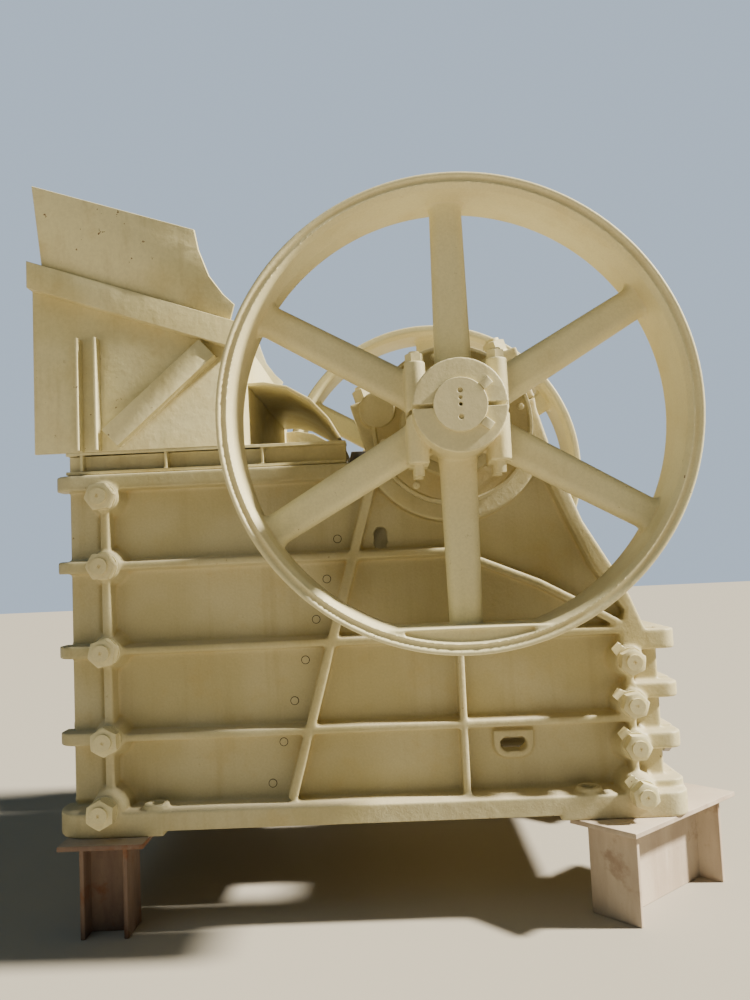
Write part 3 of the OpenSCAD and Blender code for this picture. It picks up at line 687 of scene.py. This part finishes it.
def rimOutline(v):    # radius and y round the rim's section
    r, y0, y1, e = wheelSizes["Rim radius"], layer["rimIn"], layer["rim"], v["corner"]
    inner, floor = r - v["thick"], y1 - v["groove"]
    bevel, deep = inner + v["bevel"][0], v["bevel"][1]
    return [(r - e, y0), (r, y0 + e), (r, y1 - e), (r - e, y1), (r - v["lip"], y1), (r - v["lip"] - e, floor),
            (bevel + e, floor), (bevel, y1), (inner, y1 - deep), (inner - v["ridge"], (y0 + y1) / 2),
            (inner, y0 + deep), (bevel, y0)]

def spokeTree(tree, given, v):    # a slot-shaped bar out from the hub, tapered and flared at both ends
    low = minus(tree, given["Hub radius"], v["intoHub"])
    high = plus(tree, given["Rim inside"], v["intoRim"])
    corner = times(tree, given["Spoke thickness"], v["corner"])
    oval = slotCurve(tree, given["Spoke width"], given["Spoke thickness"], corner)
    line = straightCurve(tree, low, high, given["Spoke place"])
    line = result(tree, "GeometryNodeResampleCurve", {"Curve": line, "Count": 60})
    bare = swept(tree, line, oval)
    spot = result(tree, "GeometryNodeInputPosition")
    parts = addNode(tree, "ShaderNodeSeparateXYZ", {0: spot}).outputs
    # 0 at the hub, 1 at the rim
    share = calc(tree, "DIVIDE", minus(tree, parts[1], low), minus(tree, high, low))
    nearRim = calc(tree, "POWER", calc(tree, "MAXIMUM", calc(tree, "MULTIPLY_ADD", share, 14.0, -13.0)), 2.0)
    nearHub = calc(tree, "POWER", calc(tree, "MAXIMUM", calc(tree, "MULTIPLY_ADD", share, -9.0, 1.0)), 2.0)
    width = minus(tree, 1.0, times(tree, share, v["taper"]))
    width = plus(tree, width, times(tree, nearRim, v["rimFlare"]))
    width = plus(tree, width, times(tree, nearHub, v["hubFlare"]))
    shaped = vector(tree, times(tree, parts[0], width), parts[1], parts[2])
    return result(tree, "GeometryNodeSetPosition", {"Geometry": bare, "Position": shaped})

def weightTree(tree, given):    # the part of a disc beyond its flat, with a shallow pocket
    length = minus(tree, given["Weight end"], given["Weight start"])
    middle = halfOf(tree, plus(tree, given["Weight end"], given["Weight start"]))
    disc = cylinder(tree, given["Weight radius"], length, 180)
    span = times(tree, given["Weight radius"], 2.0)
    keep = cuboid(tree, span, span, 1.0)
    keepY = times(tree, plus(tree, given["Weight flat"], given["Weight radius"]), -1.0)
    weight = sharedBy(tree, disc, moved(tree, keep, y=keepY))
    pocket = cuboid(tree, given["Pocket width"], 0.1, times(tree, given["Pocket depth"], 2.0))
    pocketY = times(tree, plus(tree, given["Weight flat"], 0.058), -1.0)
    pocket = moved(tree, pocket, y=pocketY, z=halfOf(tree, length))
    return moved(tree, takenFrom(tree, weight, pocket), z=middle)

def spokedWheelTree():
    tree, given = startTree("spokedWheel", wheelSizes)
    path = roundCurve(tree, given["Rim radius"], 180)
    section = result(tree, "GeometryNodeMeshToCurve", {"Mesh": given["Geometry"]})
    rim = swept(tree, path, section, capped=False)
    hubLength = minus(tree, given["Hub end"], given["Hub start"])
    hubMiddle = halfOf(tree, plus(tree, given["Hub end"], given["Hub start"]))
    hub = moved(tree, cylinder(tree, given["Hub radius"], hubLength, 120), z=hubMiddle)
    centres = result(tree, "GeometryNodePoints", {"Count": given["Spokes"]})
    index = result(tree, "GeometryNodeInputIndex")
    angle = times(tree, index, calc(tree, "DIVIDE", 2 * pi, given["Spokes"]))
    spoke = spokeTree(tree, given, spokeForm)
    place = {"Points": centres, "Instance": spoke, "Rotation": vector(tree, 0.0, 0.0, angle)}
    spokes = result(tree, "GeometryNodeInstanceOnPoints", place)
    # two lugs beside the hub, with round edges
    pad = slotCurve(tree, given["Lug width"], given["Lug depth"], times(tree, given["Lug width"], 0.49))
    half = halfOf(tree, given["Lug height"])
    rise = straightCurve(tree, times(tree, half, -1.0), half, given["Lug place"])
    lug = swept(tree, rise, pad)
    side = halfOf(tree, given["Lug spread"])
    lugs = joined(tree, moved(tree, lug, x=side), moved(tree, lug, x=times(tree, side, -1.0)))
    endTree(tree, given, joined(tree, rim, hub, spokes, lugs, weightTree(tree, given)))
    return tree

def drawHubCuts(bm, v):
    w, (x, z) = v["width"] / 2, v["end"]
    hub = wheelSizes["Hub radius"]
    line = [(-x, w - z), (-hub, w), (hub, w), (x, w - z), (x, -w - z), (hub, -w), (-hub, -w), (-x, -w - z)]
    acrossShell(bm, line, layer["hubIn"] - cutPast, layer["hub"] + cutPast)

def drawHubBore(bm, v):
    mouth = layer["hub"] - v["mouthDepth"]
    drum(bm, 0, 0, v["bore"], layer["hubIn"] - cutPast, mouth, steps=96)
    drum(bm, 0, 0, v["mouth"], mouth - 0.1, layer["hub"] + cutPast, steps=96)

def makeWheels():
    section = [((r - wheelSizes["Rim radius"]) / 1000, -y / 1000, 0) for r, y in rimOutline(rimSection)]
    loop = [(i, (i + 1) % len(section)) for i in range(len(section))]
    host = meshOf("rimSection", section, edges=loop)
    near = growPiece("flywheelNear", host, spokedWheelTree(), wheelSizes, wheelPaint)
    near.data.transform(Matrix.Translation(shaftAt) @ Matrix.Rotation(pi / 2, 4, "X"))
    castForm(near, castSizes["flywheel"], shellPiece("hubCuts", drawHubCuts, hubSlot))
    cutBy(near, shellPiece("hubBore", drawHubBore, hubSlot), "MANIFOLD")
    bothSides(near, wheelPaint, "rotor", "flywheel")

makeWheels()
print("flywheels made")

# fasteners and other repeated small pieces: each is made once, then set on every seat along its facing

def seatPoints(name, seats):    # pairs of a place in mm and a facing
    host = meshOf(name, [at(*place) for place, _ in seats])
    facing = host.attributes.new("facing", "FLOAT_VECTOR", "POINT")
    for i, (_, way) in enumerate(seats):
        facing.data[i].vector = way
    return host

def setOnSeats(tree, given, item):    # each turned about its own axis by chance
    way = result(tree, "GeometryNodeInputNamedAttribute", {"Name": "facing"}, data_type="FLOAT_VECTOR")
    upright = result(tree, "FunctionNodeAlignRotationToVector", {"Vector": way}, axis="Z")
    limits = {2: 0.0, 3: 2 * pi, "Seed": given["Seed"]}
    angle = addNode(tree, "FunctionNodeRandomValue", limits, data_type="FLOAT").outputs[1]
    about = result(tree, "FunctionNodeEulerToRotation", {0: vector(tree, 0.0, 0.0, angle)})
    both = {"Rotation": upright, "Rotate By": about}
    turn = result(tree, "FunctionNodeRotateRotation", both, rotation_space="LOCAL")
    place = {"Points": given["Geometry"], "Instance": item, "Rotation": turn}
    return result(tree, "GeometryNodeInstanceOnPoints", place)

def roundBar(tree, radius, height, level=0.0, sides=36):    # stands on its level
    middle = calc(tree, "MULTIPLY_ADD", height, 0.5, level)
    return moved(tree, cylinder(tree, radius, height, sides), z=middle)

boltSizes = {
    "Washer radius": 57.0, "Washer height": 12.0, "Across corners": 120.0, "Nut height": 50.0,
    "Corner cut": 9.0, "Bolt radius": 34.0, "Bolt reach": 10.0, "Punch radius": 5.0,
    "Slots": 0, "Slot width": 14.0, "Slot depth": 20.0, "Seed": 3,
}

def boltTree():    # washer, hexagon nut with its corners cut by a cone, and the bolt's end with a punch mark
    tree, given = startTree("bolt", boltSizes)
    seat, tall = given["Washer height"], given["Nut height"]
    top = plus(tree, seat, tall)
    washer = roundBar(tree, given["Washer radius"], seat)
    corner = halfOf(tree, given["Across corners"])
    hexagon = roundBar(tree, corner, tall, seat, 6)
    upper = minus(tree, corner, given["Corner cut"])
    lower = calc(tree, "MULTIPLY_ADD", tall, 1.73, upper)
    cone = {"Vertices": 36, "Radius Top": upper, "Radius Bottom": lower, "Depth": tall}
    nut = sharedBy(tree, hexagon, moved(tree, result(tree, "GeometryNodeMeshCone", cone), z=seat))
    # slots of a castle nut
    span = times(tree, given["Across corners"], 1.2)
    cutter = cuboid(tree, span, given["Slot width"], times(tree, given["Slot depth"], 2.0))
    spots = {"Count": given["Slots"], "Position": vector(tree, 0.0, 0.0, top)}
    index = result(tree, "GeometryNodeInputIndex")
    share = calc(tree, "DIVIDE", pi, calc(tree, "MAXIMUM", given["Slots"], 1.0))
    around = vector(tree, 0.0, 0.0, times(tree, index, share))
    place = {"Points": result(tree, "GeometryNodePoints", spots), "Instance": cutter, "Rotation": around}
    cutters = result(tree, "GeometryNodeInstanceOnPoints", place)
    nut = takenFrom(tree, nut, result(tree, "GeometryNodeRealizeInstances", {0: cutters}))
    length = plus(tree, tall, given["Bolt reach"])
    end = plus(tree, seat, length)
    cup = {"Vertices": 16, "Radius Top": given["Punch radius"], "Radius Bottom": 0.0, "Depth": 0.006}
    punch = moved(tree, result(tree, "GeometryNodeMeshCone", cup), z=minus(tree, end, 0.005))
    bolt = takenFrom(tree, roundBar(tree, given["Bolt radius"], length, seat), punch)
    endTree(tree, given, setOnSeats(tree, given, joined(tree, washer, nut, bolt)))
    return tree

discSizes = {"Disc radius": 18.0, "Disc height": 2.0, "Seed": 1}

def discTree():
    tree, given = startTree("disc", discSizes)
    disc = roundBar(tree, given["Disc radius"], given["Disc height"], sides=28)
    endTree(tree, given, setOnSeats(tree, given, disc))
    return tree

springSizes = {"Coil radius": 49.0, "Wire radius": 6.0, "Coil length": 100.0, "Turns": 5, "Seed": 1}

def springTree():
    tree, given = startTree("spring", springSizes)
    coil = {"Resolution": 32, "Rotations": given["Turns"], "Start Radius": given["Coil radius"],
            "End Radius": given["Coil radius"], "Height": given["Coil length"]}
    wire = roundCurve(tree, given["Wire radius"], 10)
    path = result(tree, "GeometryNodeCurveSpiral", coil)
    turns = swept(tree, path, wire)
    endTree(tree, given, setOnSeats(tree, given, turns))
    return tree

weldSizes = {"Bead radius": 5.0, "Step": 4.0, "Ripple": 3.5, "Ripple length": 9.0}

def weldTree():    # a lumpy bead along every line of the host
    tree, given = startTree("weld", weldSizes)
    path = result(tree, "GeometryNodeMeshToCurve", {"Mesh": given["Geometry"]})
    path = result(tree, "GeometryNodeResampleCurve", {"Curve": path, "Length": given["Step"]}, mode="LENGTH")
    section = roundCurve(tree, given["Bead radius"], 8)
    bead = swept(tree, path, section)
    often = calc(tree, "DIVIDE", 1.0, given["Ripple length"])
    lumps = result(tree, "ShaderNodeTexNoise", {"Scale": often, "Detail": 2.0})
    push = times(tree, minus(tree, lumps, 0.4), given["Ripple"])
    out = result(tree, "GeometryNodeInputNormal")
    offset = result(tree, "ShaderNodeVectorMath", {0: out, 3: push}, operation="SCALE")
    lumpy = result(tree, "GeometryNodeSetPosition", {"Geometry": bead, "Offset": offset})
    endTree(tree, given, lumpy)
    return tree

boltMaker, discMaker, springMaker, weldMaker = boltTree(), discTree(), springTree(), weldTree()

def onBothSides(places):    # places on the near side, outwards from the middle plane
    return [((x, side * y, z), (0, side, 0)) for side in (-1, 1) for x, y, z in places]

def setBolts(name, seats, kind, body="frame", hides=()):
    sizes = dict(boltSizes, **boltKinds[kind])
    piece = growPiece(name, seatPoints(name, seats), boltMaker, sizes, boltPaint)
    dress(piece, boltPaint, body, hides=hides)

def setDiscs(name, seats, radius, height, finish):
    sizes = dict(discSizes, **{"Disc radius": radius, "Disc height": height})
    dress(growPiece(name, seatPoints(name, seats), discMaker, sizes, finish), finish)

hubNut = {
    "Washer radius": 37.0, "Washer height": 5.0, "Across corners": 72.0, "Nut height": 32.0,
    "Corner cut": 5.0, "Bolt radius": 20.0, "Bolt reach": 9.0, "Punch radius": 3.0,
}
boltKinds = {    # what differs from boltSizes
    "frontFrame": {"Seed": 5},
    "rearFrame": {
        "Washer radius": 54.0, "Across corners": 108.0, "Corner cut": 12.0, "Bolt radius": 31.0,
        "Bolt reach": 12.0, "Seed": 8,
    },
    "cap": {
        "Washer radius": 50.0, "Across corners": 104.0, "Nut height": 46.0, "Bolt radius": 30.0,
        "Bolt reach": 14.0, "Seed": 2,
    },
    "hub": hubNut,
    "castle": {**hubNut, "Slots": 3, "Slot width": 9.0, "Slot depth": 14.0, "Seed": 7},
    "cover": {
        "Washer radius": 15.0, "Washer height": 2.0, "Across corners": 27.0, "Nut height": 10.0,
        "Corner cut": 2.0, "Bolt radius": 7.0, "Bolt reach": 1.0, "Punch radius": 1.5, "Seed": 4,
    },
    "lobe": {
        "Washer radius": 20.0, "Washer height": 2.0, "Across corners": 36.0, "Nut height": 20.0,
        "Corner cut": 3.0, "Bolt radius": 9.0, "Bolt reach": 1.0, "Punch radius": 2.0, "Seed": 6,
    },
}
hubBolts = {"across": 153, "places": (990, 1125), "seat": 189}
plugRow = {    # gapShadeDisc, a dark disc painted as the shade of the gap round each plug, and plug: radius and height, from sunk mm inside the plate's face
    "start": (-447, -277), "end": (-808, -1443), "count": 8,
    "sunk": 2, "gapShadeDisc": (18.0, 2.6), "plug": (15.0, 4.5),
}
coverBolts = {"radius": 291, "count": 8, "first": 12, "sunk": 9}

def makeFrameNuts(c):
    front = [(-c["postX"], bossEnd(z, c), -z) for z in c["frontBolts"]]
    setBolts("frontFrameNuts", onBothSides(front), "frontFrame", hides=["front_frame_bolts"])
    rear = [(c["rearBoltX"], bossEnd(z, c), -z) for z in c["rearBolts"]]
    setBolts("rearFrameNuts", onBothSides(rear), "rearFrame", hides=["rear_frame_bolts"])

def makeCapNuts(c):
    up, seats = tilted(c, 0, 1), []
    for across in (-c["studAcross"], c["studAcross"]):
        x, z = tilted(c, across, c["lugHeight"] - 1)
        seats += [((x, side * c["studSeat"], z), (up[0], 0, up[1])) for side in (-1, 1)]
    setBolts("capNuts", seats, "cap", hides=["cap_bolts"])

def makeHubNuts(h):
    spots = [(x, side * y) for side in (-1, 1) for x in (-h["across"], h["across"]) for y in h["places"]]
    setBolts("hubNutsTop", [((x, y, h["seat"]), (0, 0, 1)) for x, y in spots], "hub", "rotor", ["hub_bolts"])
    setBolts("hubNutsBottom", [((x, y, -h["seat"]), (0, 0, -1)) for x, y in spots], "castle", "rotor")

def makePlugs(r):    # a slanting row of plugs in the plate, each on a dark disc that paints the shade of the gap round it
    shares = [i / (r["count"] - 1) for i in range(r["count"])]
    holes = [[a + (b - a) * s for a, b in zip(r["start"], r["end"])] for s in shares]
    seats = onBothSides([(x, layer["plate"] - r["sunk"], z) for x, z in holes])
    setDiscs("plugGapShade", seats, *r["gapShadeDisc"], paintedGapShade)
    setDiscs("plugs", seats, *r["plug"], castPaint)

def makeCoverScrews(b, c):
    turns = [radians(b["first"] + 360 * i / b["count"]) for i in range(b["count"])]
    places = [(b["radius"] * cos(a), layer["cover"] - b["sunk"], b["radius"] * sin(a)) for a in turns]
    setBolts("coverScrews", onBothSides(places), "cover")
    x, z = tilted(c, c["lobeScrew"], 0)
    setBolts("lobeScrew", onBothSides([(x, layer["rib"] - 1, z)]), "lobe")

makeFrameNuts(sideCast)
makeCapNuts(capCast)
makeHubNuts(hubBolts)
makePlugs(plugRow)
makeCoverScrews(coverBolts, capCast)

lockTab = {"start": 34, "length": 62, "width": 54, "lift": 30, "thick": 3, "turn": 135, "steps": 6}

def drawLockTab(bm, x, z, seat, v, chance):    # torn washer plate, bent up at one corner
    angle = radians(v["turn"] + chance.uniform(-14, 14))
    out, side = (cos(angle), sin(angle)), (-sin(angle), cos(angle))
    rows = []
    for i in range(v["steps"] + 1):
        s = i / v["steps"]
        reach = v["start"] + v["length"] * s
        lift = 1 + v["lift"] * s * s * chance.uniform(0.9, 1.1)
        top = lift + v["thick"]
        half = v["width"] / 2 * (1 - 0.3 * s)
        row = []
        for across, up in ((-half, lift), (half * chance.uniform(0.75, 1.1), lift), (half, top),
                           (-half * chance.uniform(0.8, 1.1), top)):
            px, pz = x + out[0] * reach + side[0] * across, z + out[1] * reach + side[1] * across
            row.append(bm.verts.new(at(px, -seat - up, pz)))
        rows.append(row)
    for a, b in zip(rows, rows[1:]):
        for k in range(4):
            bm.faces.new((a[k], a[(k + 1) % 4], b[(k + 1) % 4], b[k]))
    bm.faces.new(rows[0][::-1])
    bm.faces.new(rows[-1])

def drawLockTabs(bm, v):
    chance = random.Random(12)
    for z in sideCast["rearBolts"]:
        drawLockTab(bm, sideCast["rearBoltX"], -z, bossEnd(z, sideCast), v, chance)

nearTabs = shellPiece("lockTabsNear", drawLockTabs, lockTab)
for tabs in (mirrored("lockTabsFar", nearTabs), nearTabs):
    dress(tabs, boltPaint)
print("fasteners made")

# plate work

plateParts = [
    "hopper_rail_near", "hopper_rail_far", "hopper_side_near", "hopper_side_far", "hopper_front_wall",
    "hopper_end_wall", "hopper_top_channels", "hopper_stiffeners", "hopper_braces",
    "hopper_extension_near", "hopper_extension_far", "pitman_guard", "toggle_plate",
]

def makePlates(parts):
    for part in parts:
        dress(crispForm(solidOf(part + "Plate", part)), platePaint, hides=[part])
    for side in ("near", "far"):
        rear, front = "rear_support_" + side, "front_support_" + side
        # rear supports in the paler steel as painted light, front ones in the darker steel as painted shade
        dress(crispForm(solidOf(rear + "Stub", rear), 3), dustyLitSteel, hides=[rear])
        dress(crispForm(solidOf(front + "Stub", front), 3), rustyShadedSteel, hides=[front])

makePlates(plateParts)

guardCheek = {
    "thick": 12, "outline": [(-868, -28), (-868, 244), (-800, 246), (-706, 225), (-609, 168), (-531, 80),
                             (-484, -8), (-484, -28)],
}

def drawGuardCheek(bm, v):    # plate that closes the guard on the far side
    acrossShell(bm, v["outline"], -layer["plate"] - v["thick"], -layer["plate"])

dress(crispForm(shellPiece("guardCheekFar", drawGuardCheek, guardCheek)), platePaint)

shaftEnd = {    # holes: height and radius of each, drilled from both ends
    "radius": 98, "start": 1265, "edge": 2.5,
    "holes": [(50, 9), (24, 6.5), (0, 6.5), (-46, 9)], "drilled": (1230, 1300),
}

def drawShaftHoles(bm, v):
    for z, r in v["holes"]:
        for side in (-1, 1):
            drum(bm, 0, z, r, *[side * y for y in v["drilled"]], steps=24)

def drawShaftEnds(bm, v):
    for side in (-1, 1):
        drum(bm, 0, 0, v["radius"], side * v["start"], side * layer["shaftEnd"], steps=96)

springPlace = {"x": 807, "y": 330, "z": -1405}

def makeMachined():
    ends = shellPiece("shaftEnds", drawShaftEnds, shaftEnd)
    cutBy(ends, shellPiece("endHoles", drawShaftHoles, shaftEnd))
    dress(crispForm(ends, shaftEnd["edge"]), boltPaint, "rotor")
    shaft = cutBy(solidOf("shaft", "eccentric_shaft"), shellPiece("shaftHoles", drawShaftHoles, shaftEnd))
    dress(crispForm(shaft, 2), boltPaint, "rotor", ["eccentric_shaft"])
    dress(crispForm(solidOf("keys", "shaft_keys"), 2), boltPaint, "rotor", hides=["shaft_keys"])
    rods = crispForm(solidOf("pullRods", "tension_rods"), 2)
    dress(rods, oiledSteel, hides=["tension_rods"])
    liners = crispForm(solidOf("cheekLiners", "cheek_plates"), 4)
    dress(liners, wornCasting, hides=["cheek_plates"])
    p = springPlace
    seats = [((p["x"], y, p["z"]), (1, 0, 0)) for y in (-p["y"], p["y"])]
    springs = growPiece("pullSprings", seatPoints("pullSprings", seats), springMaker, springSizes, oiledSteel)
    dress(springs, oiledSteel, hides=["tension_springs"])

makeMachined()

# half widths are shares of the pitch, and length runs both ways in m
jawTeeth = {
    "pitch": 72, "depth": 20, "halfWidth": 0.36, "narrowing": 0.35, "reach": 575, "above": 8, "length": 1.2,
}

def jawFace(piece, towards):    # middle and outward direction of the largest face on that side
    best = max((p for p in piece.data.polygons if p.normal.x * towards > 0.5), key=lambda p: p.area)
    return best.center.copy(), best.normal.copy()

def drawGrooves(bm, v, centre, out):    # wedges that leave ridges running down the face
    down = Vector((0, 1, 0)).cross(out).normalized()
    middle = Vector((centre.x, 0, centre.z))
    count = int(v["reach"] / v["pitch"])
    wide = v["halfWidth"]
    narrow = wide * v["narrowing"]
    section = ((-wide, v["above"]), (wide, v["above"]), (narrow, -v["depth"]), (-narrow, -v["depth"]))
    for i in range(-count, count + 1):
        ends = []
        for end in (-v["length"], v["length"]):
            ring = []
            for across, deep in section:
                y = (i + across) * v["pitch"] / 1000
                ring.append(bm.verts.new(middle + Vector((0, y, 0)) + out * deep / 1000 + down * end))
            ends.append(ring)
        closeShell(bm, *ends)

def makeJaws():
    for part, towards, body in (("fixed_jaw_face", 1, "frame"), ("swing_jaw_face", -1, "pitman_body")):
        jaw = solidOf(part + "Ridged", part)
        flat = jaw.modifiers.new("flat", "DECIMATE")
        flat.decimate_type = "DISSOLVE"
        settle(jaw)
        grooves = shellPiece("grooves", drawGrooves, jawTeeth, *jawFace(jaw, towards))
        dress(crispForm(cutBy(jaw, grooves), 4), wornCasting, body, [part])

makeJaws()

weldLines = {    # x and z of both ends
    "braceLow": [(-1399, -14), (-976, 352)], "braceHigh": [(-1461, 54), (-1041, 421)],
    "stiffenerLeft": [(-1572, -22), (-1572, 440)], "stiffenerRight": [(-1484, -22), (-1484, 440)],
}

def makeWelds():
    points, edges = [], []
    for line in weldLines.values():
        for side in (-1, 1):
            edges.append((len(points), len(points) + 1))
            points += [at(x, side * (layer["hopper"] + 2), z) for x, z in line]
    host = meshOf("weldBeads", points, edges=edges)
    beads = growPiece("weldBeads", host, weldMaker, weldSizes, platePaint, 60)
    dress(beads, platePaint)

makeWelds()
print("plates and machined pieces made")

# floor and lights

floorLook = {"reach": 30, "tone": (0.41, 0.37, 0.3), "dull": 0.85, "shine": 0.2}    # reach in m

def makeFloor(v):
    r = v["reach"]
    corners = [(-r, -r, 0), (r, -r, 0), (r, r, 0), (-r, r, 0)]
    floor = linkPiece("floor", meshOf("floor", corners, [(0, 1, 2, 3)]))
    finish, tree, surface = newFinish("floorPale", shine=v["shine"])
    surface.inputs["Base Color"].default_value = (*v["tone"], 1)
    surface.inputs["Roughness"].default_value = v["dull"]
    floor.data.materials.append(finish)

makeFloor(floorLook)

lamps = {    # the sun's size is in degrees and its power in W/m2, the sky's are in m and W
    "sun": {"kind": "SUN", "place": (10, -0.7, 9.5), "size": 5.1, "power": 14.5, "tone": (1, 0.95, 0.84)},
    "sky": {"kind": "AREA", "place": (-4, -5, 10), "size": 7, "power": 120, "tone": (0.74, 0.91, 1)},
}

def makeLamp(name, lamp, target=(0, 0, 1.4)):    # points at the middle of the machine
    data = bpy.data.lights.new(name, lamp["kind"])
    if lamp["kind"] == "SUN":
        data.angle = radians(lamp["size"])
    else:
        data.size = lamp["size"]
    data.energy = lamp["power"]
    data.color = lamp["tone"]
    holder = bpy.data.objects.new(name, data)
    holder.location = lamp["place"]
    holder.rotation_euler = (Vector(target) - Vector(lamp["place"])).to_track_quat("-Z", "Y").to_euler()
    bpy.context.scene.collection.objects.link(holder)

for name, lamp in lamps.items():
    makeLamp(name, lamp)

backdrop = {"seen": (0.50, 0.62, 0.76), "seenStrength": 1.0, "fill": (0.62, 0.84, 1.0), "fillStrength": 0.08}

def makeWorld(v):    # pale blue behind the machine, and a weak blue fill on it
    world = bpy.data.worlds.new("world")
    world.use_nodes = True
    tree = world.node_tree
    seen = tree.nodes["Background"]
    seen.inputs[0].default_value = (*v["seen"], 1)
    seen.inputs[1].default_value = v["seenStrength"]
    fill = result(tree, "ShaderNodeBackground", {0: (*v["fill"], 1), 1: v["fillStrength"]})
    straight = addNode(tree, "ShaderNodeLightPath").outputs["Is Camera Ray"]
    mix = result(tree, "ShaderNodeMixShader", {0: straight, 1: fill, 2: seen.outputs[0]})
    tree.links.new(mix, tree.nodes["World Output"].inputs[0])
    bpy.context.scene.world = world

makeWorld(backdrop)
print("floor and lights set")
